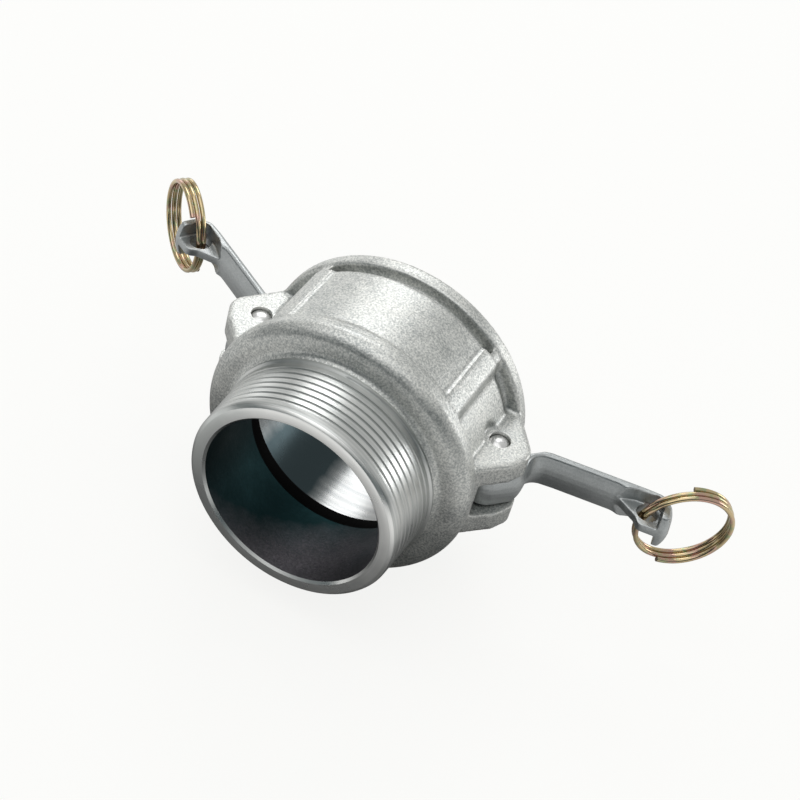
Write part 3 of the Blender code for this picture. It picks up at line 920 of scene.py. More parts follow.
@dataclass
class Shank:
    """The turned front end: taper thread, end face, bore and the sleeve that runs into the casting."""

    bore_radius: float = 37.0 * MM
    bore_edge: float = 0.95 * MM
    crest_radius: float = 43.7 * MM
    taper: float = 1 / 32
    chamfer: float = 1.9 * MM
    chamfer_marks: Tuple[Point2, ...] = ((1.5, 0.0), (0.8, 0.18), (0.2, 0.7))
    chamfer_reach: float = 1.2
    rim_share: float = 0.75
    thread_length: float = 27.5 * MM
    plain_radius: float = SHANK_RADIUS
    plain_end: float = 31.0 * MM
    sleeve_radius: float = 40.0 * MM
    sleeve_end: float = SEAT_START
    pitch: float = 3.175 * MM
    groove_start: float = 3.0 * MM
    groove_turns: float = 7.9
    groove_depth: float = 0.75 * MM
    root_half: float = 0.1 * MM
    flank: float = math.radians(30)
    run_out: float = 1.3 * MM
    run_out_turns: float = 0.8
    run_out_power: float = 1.5
    crease: float = 25.0

    def profile(self) -> List[Point2]:
        """The shank's section, from the end face along the outside and back along the bore.

        Returns:
            Points as radius and place along the axis.
        """
        crest_end = self.crest_radius + self.taper * self.thread_length
        chamfer_end = self.chamfer_reach * self.chamfer
        marks = [(inward * self.chamfer, along * self.chamfer) for inward, along in self.chamfer_marks]
        return [
            (self.bore_radius + self.bore_edge, 0.0),
            *[(self.crest_radius - inward, along) for inward, along in marks],
            (self.crest_radius + self.taper * chamfer_end, chamfer_end),
            (crest_end, self.thread_length),
            (self.plain_radius, self.thread_length + (self.plain_radius - crest_end)),
            (self.plain_radius, self.plain_end),
            (self.sleeve_radius, self.plain_end),
            (self.sleeve_radius, self.sleeve_end),
            (self.bore_radius, self.sleeve_end),
            (self.bore_radius, self.bore_edge),
        ]

    def in_bore(self, place: Vector) -> bool:
        """Whether a face is part of the cored bore, and not of the turned outside."""
        return math.hypot(place.x, place.z) < self.bore_radius + NEAR and place.y > self.bore_edge

    def on_rim(self, place: Vector) -> bool:
        """Whether a face is part of the faced end."""
        return place.y < self.rim_share * self.chamfer

    def groove_tool(self) -> bpy.types.Object:
        """The solid that cuts the thread's groove: a V swept along a right-hand taper helix.

        Returns:
            The tool in its place.
        """
        root = self.crest_radius - self.groove_depth
        top = self.crest_radius + NEAR
        mouth = self.root_half + (top - root) * math.tan(self.flank)
        section = [
            (root, -self.root_half),
            (root, self.root_half),
            (top, mouth),
            (top + MM, mouth),
            (top + MM, -mouth),
            (top, -mouth),
        ]
        points = [(radius, 0.0, self.groove_start + along) for radius, along in section]
        tool = Bench.draw("groove_tool", points + points[:1])
        steps = round(SIDES * self.groove_turns)
        Bench.modify(
            tool,
            "SCREW",
            angle=2 * math.pi * self.groove_turns,
            screw_offset=self.pitch * self.groove_turns,
            steps=steps,
            render_steps=steps,
            use_merge_vertices=False,
        )
        for vertex in tool.data.vertices:
            angle = math.atan2(vertex.co.y, vertex.co.x) / (2 * math.pi)
            turns = (vertex.co.z - self.groove_start) / self.pitch
            turns = angle + round(turns - angle)
            left = min(1.0, max(0.0, (self.groove_turns - turns) / self.run_out_turns))
            lift = self.run_out * (1 - left) ** self.run_out_power + self.taper * vertex.co.z
            radius = math.hypot(vertex.co.x, vertex.co.y)
            vertex.co.x *= (radius + lift) / radius
            vertex.co.y *= (radius + lift) / radius
        with Bench.editing():
            bpy.ops.mesh.select_all(action="DESELECT")
            bpy.ops.mesh.select_non_manifold()
            bpy.ops.mesh.fill_holes(sides=0)
            bpy.ops.mesh.select_all(action="SELECT")
            bpy.ops.mesh.normals_make_consistent(inside=False)
        Bench.settle(tool, Matrix.Rotation(-QUARTER_TURN, 4, "X"))
        return tool

    def build(self, finishes: Finishes) -> None:
        """Turns the shank, cuts its thread and dresses it.

        Args:
            finishes: The coupler's finishes.
        """
        shank = Bench.turned("threaded_shank", self.profile(), SIDES)
        Bench.cut(shank, self.groove_tool())
        Bench.shade(shank, self.crease)
        Bench.paint(shank, finishes.turned, (finishes.waterway, self.in_bore), (finishes.faced, self.on_rim))
        Bench.mount(shank, "body", ["coupler_body"], "cast_aluminium")


@dataclass
class Casting:
    """The cast outside of the coupler with its shoulder, barrel, panels, ribs, lip and ears."""

    length: float = 87.8 * MM
    front: float = 29.4 * MM
    shank_radius: float = SHANK_RADIUS
    foot_out: float = 2.6 * MM
    foot_back: float = 1.0 * MM
    foot_round: float = 2.8 * MM
    shoulder_face: float = 31.6 * MM
    shoulder_radius: float = 57.0 * MM
    shoulder_round: float = 6.6 * MM
    shoulder_end: float = 43.6 * MM
    shoulder_drop: float = 0.8 * MM
    shoulder_land: float = 3.4 * MM
    shoulder_lean: float = 0.45
    shoulder_fillet: float = 1.5 * MM
    edge_round: float = 1.2 * MM
    step_edge: float = 0.6 * MM
    barrel_radius: float = 52.6 * MM
    groove_radius: float = 51.3 * MM
    groove_width: float = 3.4 * MM
    lip_radius: float = 56.8 * MM
    lip_width: float = 6.6 * MM
    lip_round: float = 1.4 * MM
    panel_radius: float = 55.4 * MM
    panel_end: float = 77.2 * MM
    panel_lap: float = 0.5 * MM
    panel_edge: float = 0.6 * MM
    rib_radius: float = 56.8 * MM
    rib_outer: float = 40.2 * MM
    rib_width: float = 6.6 * MM
    rib_edge: float = 1.0 * MM
    bridge_radius: float = 56.1 * MM
    bridge_width: float = 3.6 * MM
    bridge_inset: float = 0.6 * MM
    bridge_lap: float = 3 * MM
    bridge_edge: float = 0.5 * MM
    root_radius: float = 48.9 * MM
    pad_lap: float = 2 * MM
    pad_step: float = 2 * MM
    pin_x: float = PIN_X
    pin_y: float = PIN_Y
    pin_hole: float = 4.2 * MM
    pin_lead: float = 0.2 * MM
    pin_lead_depth: float = 0.25 * MM
    spot_radius: float = 6.9 * MM
    spot_round: float = 0.6 * MM
    spot_gap: float = 0.05 * MM
    spot_height: float = 25 * MM
    spot_sides: int = 96
    ear_face: float = 18.5 * MM
    ear_thickness: float = 9.9 * MM
    ear_root: float = 47.3 * MM
    ear_edge: float = 0.9 * MM
    slot_front: float = 17.3 * MM
    slot_rear: float = 16.6 * MM
    slot_inner: float = 41.0 * MM
    slot_reach: float = 30 * MM
    slot_edge: float = 1.2 * MM
    socket_radius: float = 46.15 * MM
    seat_radius: float = 47.6 * MM
    seat_start: float = SEAT_START
    seat_end: float = 42.05 * MM
    mouth_chamfer: float = 2.0 * MM
    mouth_depth: float = 3.2 * MM
    mouth_lap: float = 2 * MM
    mouth_flare: float = 1.25 * MM
    sleeve_hole: float = 39.9 * MM
    sleeve_span: Span = (20 * MM, 38 * MM)
    core_sides: int = 256
    voxel: float = 0.72 * MM
    smoothing: int = 4
    crease: float = 32.0

    def core(self) -> bpy.types.Object:
        """The solid of revolution inside the casting's skin.

        Returns:
            The solid.
        """
        lip_front = self.length - self.lip_width
        groove_front = lip_front - self.groove_width
        soft = self.edge_round
        lip_centre = (self.lip_radius - self.lip_round, self.length - self.lip_round)
        profile = [(0.0, self.length)]
        profile += arc(lip_centre, self.lip_round, 90, 0, 5)
        profile += arc((self.lip_radius - soft, lip_front + soft), soft, 0, -90, 5)
        profile += arc((self.groove_radius + soft, lip_front - soft), soft, 90, 180, 4)
        profile += [(self.groove_radius, groove_front), (self.barrel_radius - self.step_edge, groove_front)]
        profile += [(self.barrel_radius, groove_front - self.step_edge)]
        profile += [(self.barrel_radius, self.shoulder_end + self.shoulder_fillet)]
        profile += [(self.barrel_radius + self.shoulder_fillet, self.shoulder_end)]
        rear = self.shoulder_radius - self.shoulder_drop
        profile += arc((rear - soft, self.shoulder_end - soft), soft, 90, 10, 4)
        profile += [(rear + self.shoulder_lean * self.shoulder_drop, self.shoulder_end - self.shoulder_land)]
        round_centre = (self.shoulder_radius - self.shoulder_round, self.shoulder_face + self.shoulder_round)
        profile += arc(round_centre, self.shoulder_round, 0, -84, 9)
        foot = self.front - self.foot_back
        profile += arc((self.shank_radius + self.foot_out, foot), self.foot_round, 80, 176, 6)
        profile += [(0.0, foot)]
        return Bench.turned("cast_body", profile, self.core_sides)

    def sector(self, radius: float, left: float, right: float) -> List[Point2]:
        """The section of a raised pad on the barrel.

        Args:
            radius: The radius of the pad's top.
            left: The X of its left side.
            right: The X of its right side.

        Returns:
            The outline across the flow, with X first and height second.
        """
        steps = max(FEWEST_STEPS, math.ceil((right - left) / self.pad_step))
        across = [left + (right - left) * step / steps for step in range(steps + 1)]
        root = [(x, math.sqrt(self.root_radius**2 - x**2)) for x in across]
        return root + [(x, math.sqrt(radius**2 - x**2)) for x in reversed(across)]

    def pads(self, face: Face) -> List[bpy.types.Object]:
        """The panel of one face, the two ribs beside it and their bridges to the lip.

        Args:
            face: The upper or the lower face.

        Returns:
            The solids, each overlapping the core.
        """
        inner = self.rib_outer - self.rib_width
        side = inner + self.panel_lap
        ends = (self.shoulder_end - self.pad_lap, self.panel_end)
        wanted = [
            ("panel", self.panel_radius, -side, side, *ends, self.panel_edge),
            ("rib_a", self.rib_radius, inner, self.rib_outer, *ends, self.rib_edge),
            ("rib_b", self.rib_radius, -self.rib_outer, -inner, *ends, self.rib_edge),
        ]
        bridge = self.rib_outer - self.bridge_inset
        ends = (self.panel_end - self.bridge_lap, self.length - self.lip_width / 2)
        for name, left in (("bridge_a", bridge - self.bridge_width), ("bridge_b", -bridge)):
            right = left + self.bridge_width
            wanted.append((name, self.bridge_radius, left, right, *ends, self.bridge_edge))
        made = []
        for name, radius, left, right, low, high, edge in wanted:
            place = Matrix.Translation((0, (low + high) / 2, 0)) @ Matrix.Rotation(QUARTER_TURN, 4, "X")
            outline = self.sector(radius, left, right)
            made.append(Bench.prism(name, outline, (high - low) / 2, face.turn @ place, edge))
        return made

    def ears(self, side: Side) -> bpy.types.Object:
        """The block of one side that the slot parts into two ears.

        Args:
            side: The side of the coupler.

        Returns:
            The block in its place.
        """
        root = self.ear_root - self.pin_x
        lip_front = self.length - self.lip_width - self.pin_y
        shoulder = self.shoulder_end - self.pin_y
        outline = rounded(
            [
                (root, shoulder - 0.8 * MM, 0),
                (-1.0 * MM, shoulder - 0.8 * MM, 0),
                (10.2 * MM, -9.2 * MM, 4.0 * MM),
                (13.5 * MM, -1.6 * MM, 3.0 * MM),
                (12.6 * MM, 3.0 * MM, 4.0 * MM),
                (2.6 * MM, lip_front - 1.4 * MM, 1.5 * MM),
                (1.0 * MM, lip_front + 1.0 * MM, 0),
                (root, lip_front + 1.0 * MM, 0),
            ]
        )
        place = side.turn @ Matrix.Translation((self.pin_x, self.pin_y, 0))
        return Bench.prism("ears", outline, self.ear_face, place, self.ear_edge)

    def slot_tool(self, side: Side) -> bpy.types.Object:
        """The solid that parts one side's ears and opens the wall for the cam.

        Args:
            side: The side of the coupler.

        Returns:
            The tool in its place.
        """
        inner = self.slot_inner - self.pin_x
        outline = [
            (inner, -self.slot_front),
            (self.slot_reach, -self.slot_front),
            (self.slot_reach, self.slot_rear),
            (inner, self.slot_rear),
        ]
        place = side.turn @ Matrix.Translation((self.pin_x, self.pin_y, 0))
        half = self.ear_face - self.ear_thickness
        return Bench.prism("slot_tool", outline, half, place, self.slot_edge)

    def pin_tool(self, side: Side) -> bpy.types.Object:
        """The drill for one side's pin, with a small countersink at each face.

        Args:
            side: The side of the coupler.

        Returns:
            The tool in its place.
        """
        half = self.ear_face
        lead = self.pin_hole + self.pin_lead
        profile = [(0.0, half + MM), (lead + MM, half + MM)]
        profile += [(lead, half), (self.pin_hole, half - self.pin_lead_depth)]
        profile += [(radius, -along) for radius, along in reversed(profile)]
        return Bench.turned("pin_tool", profile, PIN_SIDES, (side.value * self.pin_x, self.pin_y, 0.0))

    def spot_tools(self, side: Side) -> List[bpy.types.Object]:
        """The cutters that face the casting flat round both ends of one side's pin.

        Args:
            side: The side of the coupler.

        Returns:
            The two cutters in their places.
        """
        low = self.ear_face + self.spot_gap
        high = self.ear_face + self.spot_height
        centre = (side.value * self.pin_x, self.pin_y, 0.0)
        tools = []
        for face in Face:
            profile = [(0.0, face.value * low), (self.spot_radius - self.spot_round, face.value * low)]
            profile += [(self.spot_radius, face.value * (low + self.spot_round))]
            profile += [(self.spot_radius, face.value * high), (0.0, face.value * high)]
            tools.append(Bench.turned("spot_tool", profile, self.spot_sides, centre))
        return tools

    def machining_tools(self) -> List[bpy.types.Object]:
        """The turned cuts: the sleeve's hole, and the socket with the gasket's seat.

        Returns:
            The two tools, the socket's first.
        """
        chamfer_end = self.socket_radius + self.mouth_chamfer
        beyond = self.length + self.mouth_lap
        socket = [
            (0.0, self.seat_start),
            (self.seat_radius, self.seat_start),
            (self.seat_radius, self.seat_end),
            (self.socket_radius, self.seat_end),
            (self.socket_radius, self.length - self.mouth_depth),
            (chamfer_end, self.length),
            (chamfer_end + self.mouth_flare, beyond),
            (0.0, beyond),
        ]
        start, end = self.sleeve_span
        hole = [(0.0, start), (self.sleeve_hole, start), (self.sleeve_hole, end), (0.0, end)]
        return [Bench.turned("socket_tool", socket, SIDES), Bench.turned("hole_tool", hole, SIDES)]

    def in_socket(self, place: Vector) -> bool:
        """Whether a face was cut by the socket's tool, and not left as cast.

        Args:
            place: The face's centre.

        Returns:
            True where it was cut.
        """
        across = math.hypot(place.x, place.z)
        if place.y > self.length - self.mouth_depth:
            return across < self.socket_radius + self.mouth_chamfer
        return across < self.seat_radius + NEAR / 2 and place.y > self.seat_start - NEAR

    def build(self, finishes: Finishes) -> None:
        """Casts the body, machines it and dresses it.

        Args:
            finishes: The coupler's finishes.
        """
        body = self.core()
        blocks = [pad for face in Face for pad in self.pads(face)]
        blocks += [self.ears(side) for side in Side]
        Bench.join(body, blocks)
        Bench.fuse(body, self.voxel, 0)
        for side in Side:
            Bench.cut(body, self.slot_tool(side), *self.spot_tools(side))
        Bench.fuse(body, self.voxel, self.smoothing)
        Bench.cut(body, *self.machining_tools(), *[self.pin_tool(side) for side in Side])
        Bench.shade(body, self.crease)
        Bench.paint(body, finishes.cast, (finishes.socket, self.in_socket))
        Bench.mount(body, "body", ["coupler_body"], "cast_aluminium")


@dataclass
class Gasket:
    """The flat ring that the adapter's end presses on."""

    inner_radius: float = 37.7 * MM
    outer_radius: float = 47.3 * MM
    start: float = 35.4 * MM
    thickness: float = 6.35 * MM
    edge: float = 0.6 * MM
    top_edge: float = 1.45 * MM
    crease: float = 50.0

    def build(self, finishes: Finishes) -> None:
        """Moulds the ring and dresses it.

        Args:
            finishes: The coupler's finishes.
        """
        end = self.start + self.thickness
        edge = self.edge
        profile = arc((self.inner_radius + edge, self.start + edge), edge, 180, 270, 4)
        profile += arc((self.outer_radius - edge, self.start + edge), edge, 270, 360, 4)
        profile += [(self.outer_radius, end - edge), (self.outer_radius - self.top_edge, end)]
        profile += arc((self.inner_radius + edge, end - edge), edge, 90, 180, 4)
        ring = Bench.turned("gasket_ring", profile, SIDES)
        Bench.shade(ring, self.crease)
        Bench.paint(ring, finishes.rubber)
        Bench.mount(ring, "body", ["gasket"], "gasket_rubber")


@dataclass
class Pin:
    """A headless pin with domed ends, a little below the faces of the ears."""

    radius: float = 3.95 * MM
    half: float = 18.2 * MM
    dome: float = 0.9 * MM
    dome_power: float = 2.4
    dome_steps: int = 8
    edge: float = 0.35 * MM
    crease: float = 40.0

    def build(self, side: Side, finishes: Finishes) -> None:
        """Turns one side's pin and dresses it.

        Args:
            side: The side of the coupler.
            finishes: The coupler's finishes.
        """
        top: List[Point2] = []
        for step in range(self.dome_steps + 1):
            share = step / self.dome_steps
            reach = (self.radius - self.edge) * share
            top.append((reach, self.half - self.dome * share**self.dome_power))
        top.append((self.radius, self.half - self.dome - self.edge))
        profile = top + [(radius, -along) for radius, along in reversed(top)]
        centre = (side.value * PIN_X, PIN_Y, 0.0)
        pin = Bench.turned(f"cam_pin_{side.label}_turned", profile, PIN_SIDES, centre)
        Bench.shade(pin, self.crease)
        Bench.paint(pin, finishes.steel)
        Bench.mount(pin, "body", [f"cam_pin_{side.label}"], "pin_steel")


@dataclass
class CamArm:
    """One cam arm: a round cam on the pin, a lever, and a tip hollowed to a web with the ring's eye.

    Its outline lies in the plane across the pin, with U along the lever and V towards the mouth.
    """

    side: Side
    angle: float
    pin: Point2 = (PIN_X, PIN_Y)
    half: float = 8.2 * MM
    cam_radius: float = 9.35 * MM
    cam_offset: float = 2.75 * MM
    cam_flat: float = 6.6 * MM
    cam_bore: float = 4.3 * MM
    outer: float = 17.15 * MM
    inner: float = 10.65 * MM
    reach: float = 72.8 * MM
    nose_end: float = 312.0
    nose_steps: int = 16
    neck: float = 13.9 * MM
    draft: float = 1.3 * MM
    draft_shares: Tuple[float, ...] = (0.0, 0.35, 0.65, 0.85, 1.0)
    corner: float = 1.5 * MM
    corner_degrees: Tuple[float, ...] = (22.5, 45.0, 67.5, 90.0)
    back_fall: float = 1.4 * MM
    web: float = 3.8 * MM
    web_edge: float = 0.7 * MM
    spine: float = 4.4 * MM
    crossbar: float = 4.6 * MM
    pocket: float = 17.4 * MM
    pocket_lap: float = 6 * MM
    pocket_edge: float = 0.7 * MM
    eye: Point2 = (62.9 * MM, 8.2 * MM)
    eye_radius: float = 4.2 * MM
    lead: float = 0.4 * MM
    lead_reach: float = 1.4 * MM
    drill_sides: int = 72
    round_step: float = 9.0
    voxel: float = 0.34 * MM
    smoothing: int = 5
    crease: float = 35.0

    @property
    def place(self) -> Matrix:
        """The arm's place: its pin, turned to the arm's angle, on its side."""
        at_pin = Matrix.Translation((*self.pin, 0))
        return self.side.turn @ at_pin @ Matrix.Rotation(self.angle, 4, "Z")

    def outline(self) -> List[Point2]:
        """The arm's outline at its parting line, counterclockwise from the cam's flat foot.

        Returns:
            The points as U and V.
        """
        foot = -self.cam_offset - math.sqrt(self.cam_radius**2 - self.cam_flat**2)
        start = math.degrees(math.atan2(foot + self.cam_offset, -self.cam_flat)) % 360
        nose = arc((0, -self.cam_offset), self.cam_radius, start, self.nose_end, self.nose_steps)
        corners = [(u, v, 0.0) for u, v in nose]
        corners += [
            (self.neck, -3.2 * MM, 6 * MM),
            (self.neck + 1.4 * MM, self.inner - 0.5 * MM, 9 * MM),
            (self.neck + 11.1 * MM, self.inner, 0.0),
            (self.eye[0] - 12.7 * MM, self.inner, 6 * MM),
            (self.eye[0] - 4.3 * MM, self.eye[1] - 3.8 * MM, 4 * MM),
            (self.eye[0] - 2.3 * MM, self.web_edge, 3 * MM),
            (self.reach, self.web_edge, 3 * MM),
            (self.reach, self.eye[1] + 2.2 * MM, 6 * MM),
            (self.reach - 5.8 * MM, self.outer - 0.6 * MM, 6 * MM),
            (self.reach - 12.8 * MM, self.outer, 20 * MM),
            (self.neck + 4.3 * MM, self.outer, 8 * MM),
            (self.neck - 1.9 * MM, self.outer - 5.35 * MM, 6 * MM),
            (-self.cam_flat, 6.2 * MM, 4 * MM),
        ]
        return rounded(corners, self.round_step)

    def rise_steps(self) -> List[Tuple[float, float]]:
        """How far each step of a side leans in and rises: a side bowed by the draft, then the corner.

        Returns:
            The steps from the parting line up, each as its lean and its rise.
        """
        rise = self.half - self.corner
        marks = [(self.draft * share**2, rise * share) for share in self.draft_shares]
        for degrees in self.corner_degrees:
            turn = math.radians(degrees)
            lean = self.draft + self.corner * (1 - math.cos(turn))
            marks.append((lean, rise + self.corner * math.sin(turn)))
        return [(after[0] - before[0], after[1] - before[1]) for before, after in zip(marks, marks[1:])]

    def blank(self) -> bpy.types.Object:
        """The arm's blank: its outline drawn in step by step up the bowed side, then mirrored.

        Returns:
            The blank, not yet on its pin.
        """
        points = [(u, v, 0.0) for u, v in self.outline()]
        blank = Bench.draw(f"cam_arm_{self.side.label}_cast", points + points[:1])
        with Bench.editing():
            bpy.ops.mesh.edge_face_add()
            bpy.ops.mesh.normals_make_consistent(inside=False)
        if blank.data.polygons[0].normal.z < 0:
            blank.data.flip_normals()
        with Bench.editing():
            for lean, height in self.rise_steps():
                bpy.ops.mesh.inset(thickness=lean, depth=height)
        Bench.modify(blank, "MIRROR", use_axis=(False, False, True), merge_threshold=MERGE)
        with Bench.editing():
            Bench.tidy_mesh()
            bpy.ops.mesh.quads_convert_to_tris()
        middle = (self.inner + self.outer) / 2
        for vertex in blank.data.vertices:
            share = max(0.0, vertex.co.y - middle) / (self.outer - middle)
            vertex.co.z *= 1 - share * self.back_fall / self.half
        return blank

    def pocket_tool(self, face: Face) -> bpy.types.Object:
        """The solid that hollows one face of the tip down to the web.

        Args:
            face: The upper or the lower face.

        Returns:
            The tool, placed as the blank is.
        """
        ceiling = self.outer - self.spine
        wall = self.reach - self.crossbar
        open_side = self.web_edge - self.pocket_lap
        mouth = self.eye[0] - self.pocket
        outline = rounded(
            [
                (mouth, open_side, 0),
                (wall, open_side, 0),
                (wall, self.eye[1] + 2.4 * MM, 2.0 * MM),
                (wall - 2.6 * MM, ceiling, 3.0 * MM),
                (self.eye[0] - 6.0 * MM, ceiling, 6.0 * MM),
                (self.eye[0] - 11.4 * MM, self.inner + 0.5 * MM, 5.0 * MM),
                (mouth, self.inner - 1.2 * MM, 0),
            ]
        )
        lift = Matrix.Translation((0, 0, face.value * (self.web / 2 + self.half)))
        return Bench.prism("pocket_tool", outline, self.half, lift, self.pocket_edge)

    def drill(self, name: str, centre: Point2, radius: float, depth: float) -> bpy.types.Object:
        """A drill along the pin's direction whose hole has a small chamfer at each face.

        Args:
            name: The tool's name.
            centre: The hole's centre as U and V.
            radius: The hole's radius.
            depth: The height of the faces that the hole opens in.

        Returns:
            The tool.
        """
        profile = [(0.0, depth + MM), (radius + self.lead_reach, depth + MM)]
        profile += [(radius + self.lead, depth), (radius, depth - self.lead)]
        profile += [(across, -along) for across, along in reversed(profile)]
        return Bench.turned(name, profile, self.drill_sides, (*centre, 0.0))

    def build(self, finishes: Finishes) -> None:
        """Casts the arm, drills it, moves it onto its pin and dresses it.

        Args:
            finishes: The coupler's finishes.
        """
        arm = self.blank()
        Bench.cut(arm, *[self.pocket_tool(face) for face in Face])
        Bench.fuse(arm, self.voxel, self.smoothing)
        Bench.cut(
            arm,
            self.drill("eye_drill", self.eye, self.eye_radius, self.web / 2),
            self.drill("pin_drill", (0.0, 0.0), self.cam_bore, self.half),
        )
        Bench.settle(arm, self.place)
        Bench.shade(arm, self.crease)
        Bench.paint(arm, finishes.arm)
        Bench.mount(arm, f"arm_{self.side.label}", [f"cam_arm_{self.side.label}"], "arm_aluminium")


@dataclass
class FingerRing:
    """A ring of wire coiled about two and a half turns, hanging in the eye of an arm."""

    arm: CamArm
    angle: float
    turns: Span
    radius: float = 19.1 * MM
    wire: float = 1.05 * MM
    wire_steps: int = 5
    coil_gap: float = 0.2 * MM
    coil_swing: float = 0.035
    coil_phase: float = 0.8
    bow: float = 0.1 * MM
    bow_drift: float = 2.0
    drop: float = 4.1 * MM
    shift: float = -0.9 * MM
    tilt: float = 0.0
    points_per_turn: int = 64
    crease: float = 60.0

    def build(self, finishes: Finishes) -> None:
        """Coils the wire and dresses it.

        Args:
            finishes: The coupler's finishes.
        """
        side = self.arm.side
        reach = math.sqrt(self.radius**2 - self.drop**2) + self.shift
        pitch = 2 * self.wire + self.coil_gap
        first, last = self.turns
        count = round((last - first) * self.points_per_turn)
        points = []
        for index in range(count + 1):
            turns = first + (last - first) * index / count
            angle = 2 * math.pi * turns
            spread = pitch * (turns + self.coil_swing * math.sin(angle + self.coil_phase))
            radius = self.radius + self.bow * math.sin(2 * angle + self.bow_drift * turns)
            points.append((reach + radius * math.cos(angle), spread, radius * math.sin(angle) - self.drop))
        ring = Bench.draw(f"finger_ring_{side.label}_coiled", points)
        Bench.pick(ring)
        bpy.ops.object.convert(target="CURVE")
        ring.data.bevel_depth = self.wire
        ring.data.bevel_resolution = self.wire_steps
        ring.data.use_fill_caps = True
        bpy.ops.object.convert(target="MESH")
        eye = Vector((*self.arm.eye, 0.0))
        at_pin = Matrix.Translation((*self.arm.pin, 0))
        in_frame = at_pin @ Matrix.Rotation(self.arm.angle, 4, "Z") @ eye
        turn = self.angle if side is Side.RIGHT else math.pi - self.angle
        place = Matrix.Translation((side.value * in_frame.x, in_frame.y, 0)) @ Matrix.Rotation(turn, 4, "Z")
        Bench.settle(ring, place @ Matrix.Rotation(self.tilt, 4, "X"))
        Bench.shade(ring, self.crease)
        Bench.paint(ring, finishes.plated)
        Bench.mount(ring, f"ring_{side.label}", [f"finger_ring_{side.label}"], "yellow_plated_wire")


# The studio


@dataclass(frozen=True)
class Lamp:
    """One soft box: its direction from the coupler, its size, its power in watts and its distance."""

    name: str
    towards: Point3
    size: Point2
    watts: float
    distance: float = 1.2

    def build(self, aim: Vector) -> None:
        """Hangs the lamp and turns it to a point.

        Args:
            aim: The point.
        """
        away = Vector(self.towards).normalized()
        bpy.ops.object.light_add(type="AREA", location=aim + away * self.distance)
        lamp = bpy.context.object
        lamp.name = self.name
        lamp.rotation_euler = away.to_track_quat("Z", "Y").to_euler()
        lamp.data.shape = "RECTANGLE"
        lamp.data.size, lamp.data.size_y = self.size
        lamp.data.energy = self.watts


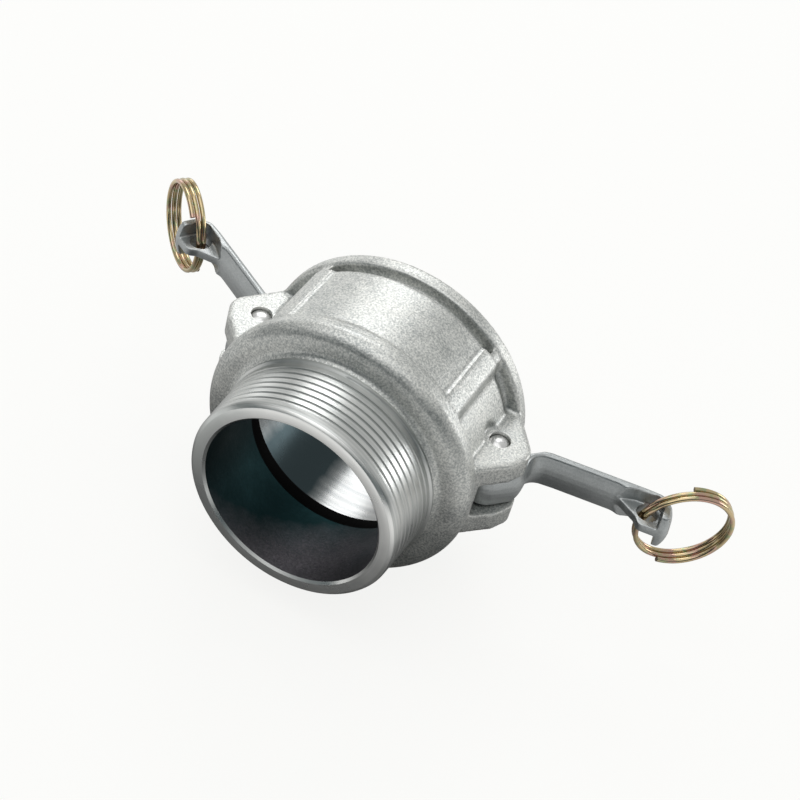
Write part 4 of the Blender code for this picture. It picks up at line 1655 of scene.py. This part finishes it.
@dataclass
class Studio:
    """A pale floor, a room that is light above and dim at the horizon, four lamps and the camera."""

    floor_height: float = -57.2 * MM
    floor_colour: Colour = (0.95, 0.95, 0.935)
    floor_bounce: Colour = (0.18, 0.18, 0.18)
    floor_glow: float = 0.86
    floor_white: Colour = (1.0, 1.0, 0.985)
    floor_roughness: float = 0.9
    # How far from the coupler the floor's reflected white goes from none to full: painted shadow round the
    # coupler
    reflected_floor_shadow_fade: Span = (90 * MM, 225 * MM)
    floor_size: float = 6.0
    sky: Colour = (0.62, 0.625, 0.615)
    horizon: Colour = (0.07, 0.09, 0.095)
    sky_axis: Point3 = (0.0, 0.45, 0.89)
    sky_fade: Span = (0.05, 0.4)
    camera_place: Point3 = (174.4 * MM, -473.9 * MM, 534.4 * MM)
    camera_right: Point3 = (0.864, 0.461, 0.204)
    camera_down: Point3 = (0.457, -0.544, -0.704)
    camera_ahead: Point3 = (-0.213, 0.701, -0.681)
    lens: float = 88.9
    film: float = 36.0
    near: float = 0.05
    aim: Point3 = (0.0, 45 * MM, 10 * MM)
    lamps: List[Lamp] = field(
        default_factory=lambda: [
            Lamp("overhead_box", (-0.33, 0.69, 0.65), (0.6, 0.44), 2.5),
            Lamp("right_window", (0.69, 0.70, 0.18), (0.4, 0.36), 1.6),
            Lamp("left_window", (-0.74, 0.67, 0.05), (0.5, 0.4), 0.6),
            Lamp("ceiling_panel", (-0.2, -0.22, 0.95), (1.3, 1.3), 4.4),
        ]
    )

    def build_floor(self) -> None:
        """Lays the floor: white to the camera, and to the metal's reflections where it lies far off; nearer
        the coupler its reflection darkens, a painted shadow.
        """
        bpy.ops.mesh.primitive_plane_add(size=self.floor_size, location=(0, self.aim[1], self.floor_height))
        floor = bpy.context.object
        floor.name = "studio_floor"
        material = bpy.data.materials.new("pale_floor")
        material.use_nodes = True
        sheet = NodeSheet(material.node_tree)
        shader = material.node_tree.nodes["Principled BSDF"]
        path = sheet.add("ShaderNodeLightPath").outputs
        colour = sheet.blend(path["Is Camera Ray"], self.floor_bounce, self.floor_colour)
        sheet.give(shader, "Roughness", self.floor_roughness)
        sheet.give(shader, "Base Color", colour)
        place = sheet.add("ShaderNodeTexCoord").outputs["Object"]
        away = sheet.add("ShaderNodeVectorMath", {0: place}, operation="LENGTH").outputs["Value"]
        # Painted shadow: reflections see the floor's white fade out near the coupler
        mirrored = sheet.math("MULTIPLY", path["Is Glossy Ray"], sheet.ramp(away, *self.reflected_floor_shadow_fade))
        through = sheet.math("MAXIMUM", path["Is Camera Ray"], path["Is Transmission Ray"])
        share = sheet.math("MULTIPLY", sheet.math("MAXIMUM", through, mirrored), self.floor_glow)
        glow = sheet.add("ShaderNodeEmission", {"Color": (*self.floor_white, 1.0), "Strength": 1.0})
        mixed = sheet.add("ShaderNodeMixShader", {0: share, 1: shader.outputs[0], 2: glow.outputs[0]})
        sheet.give(material.node_tree.nodes["Material Output"], "Surface", mixed.outputs[0])
        floor.data.materials.append(material)

    def build_world(self) -> None:
        """Lights the room: light from above, and dimmer towards the horizon."""
        world = bpy.data.worlds.new("studio_room")
        bpy.context.scene.world = world
        world.use_nodes = True
        sheet = NodeSheet(world.node_tree)
        around = sheet.add("ShaderNodeTexCoord").outputs["Generated"]
        up = sheet.add("ShaderNodeVectorMath", {0: around, 1: self.sky_axis}, operation="DOT_PRODUCT")
        share = sheet.ramp(up.outputs["Value"], *self.sky_fade)
        background = world.node_tree.nodes["Background"]
        sheet.give(background, "Color", sheet.blend(share, self.horizon, self.sky))
        sheet.give(background, "Strength", 1.0)

    def build_camera(self) -> None:
        """Sets up the camera at the photograph's viewing angle."""
        axes = (self.camera_right, self.camera_down, self.camera_ahead)
        right, down, ahead = (Vector(axis).normalized() for axis in axes)
        turn = Matrix((right, -down, -ahead)).transposed()
        bpy.ops.object.camera_add(location=self.camera_place, rotation=turn.to_euler())
        camera = bpy.context.object
        camera.name = "photo_camera"
        camera.data.lens = self.lens
        camera.data.sensor_width = self.film
        camera.data.clip_start = self.near
        bpy.context.scene.camera = camera

    def build(self) -> None:
        """Builds the floor, the room, the lamps and the camera."""
        self.build_floor()
        self.build_world()
        for lamp in self.lamps:
            lamp.build(Vector(self.aim))
        self.build_camera()
        bpy.context.scene.view_settings.view_transform = "Standard"


class Coupler:
    """The whole coupler, built piece by piece."""

    LEFT_ARM_ANGLE = math.radians(30.1)
    RIGHT_ARM_ANGLE = math.radians(10.4)
    LEFT_RING_ANGLE = math.radians(41.5)
    RIGHT_RING_ANGLE = math.radians(34.5)
    RIGHT_RING_TILT = math.radians(4.0)

    def __init__(self) -> None:
        """Sets the pieces' sizes and the arms' and rings' angles."""
        self.shank = Shank()
        self.casting = Casting()
        self.gasket = Gasket()
        self.pin = Pin()
        left = CamArm(Side.LEFT, self.LEFT_ARM_ANGLE)
        right = CamArm(Side.RIGHT, self.RIGHT_ARM_ANGLE)
        self.arms = [left, right]
        self.rings = [
            FingerRing(left, self.LEFT_RING_ANGLE, turns=(-1.36, 1.36)),
            FingerRing(
                right,
                self.RIGHT_RING_ANGLE,
                turns=(-1.3, 1.26),
                drop=4.6 * MM,
                shift=-1.7 * MM,
                tilt=self.RIGHT_RING_TILT,
            ),
        ]

    def build(self, finishes: Finishes) -> None:
        """Builds and dresses every piece.

        Args:
            finishes: The coupler's finishes.
        """
        self.shank.build(finishes)
        self.casting.build(finishes)
        self.gasket.build(finishes)
        for side in Side:
            self.pin.build(side, finishes)
        for piece in (*self.arms, *self.rings):
            piece.build(finishes)


def main() -> None:
    """Builds the coupler and its studio."""
    logging.basicConfig(level=logging.INFO, format="%(name)s: %(message)s")
    Coupler().build(Finishes())
    Studio().build()


if __name__ == "__main__":
    main()
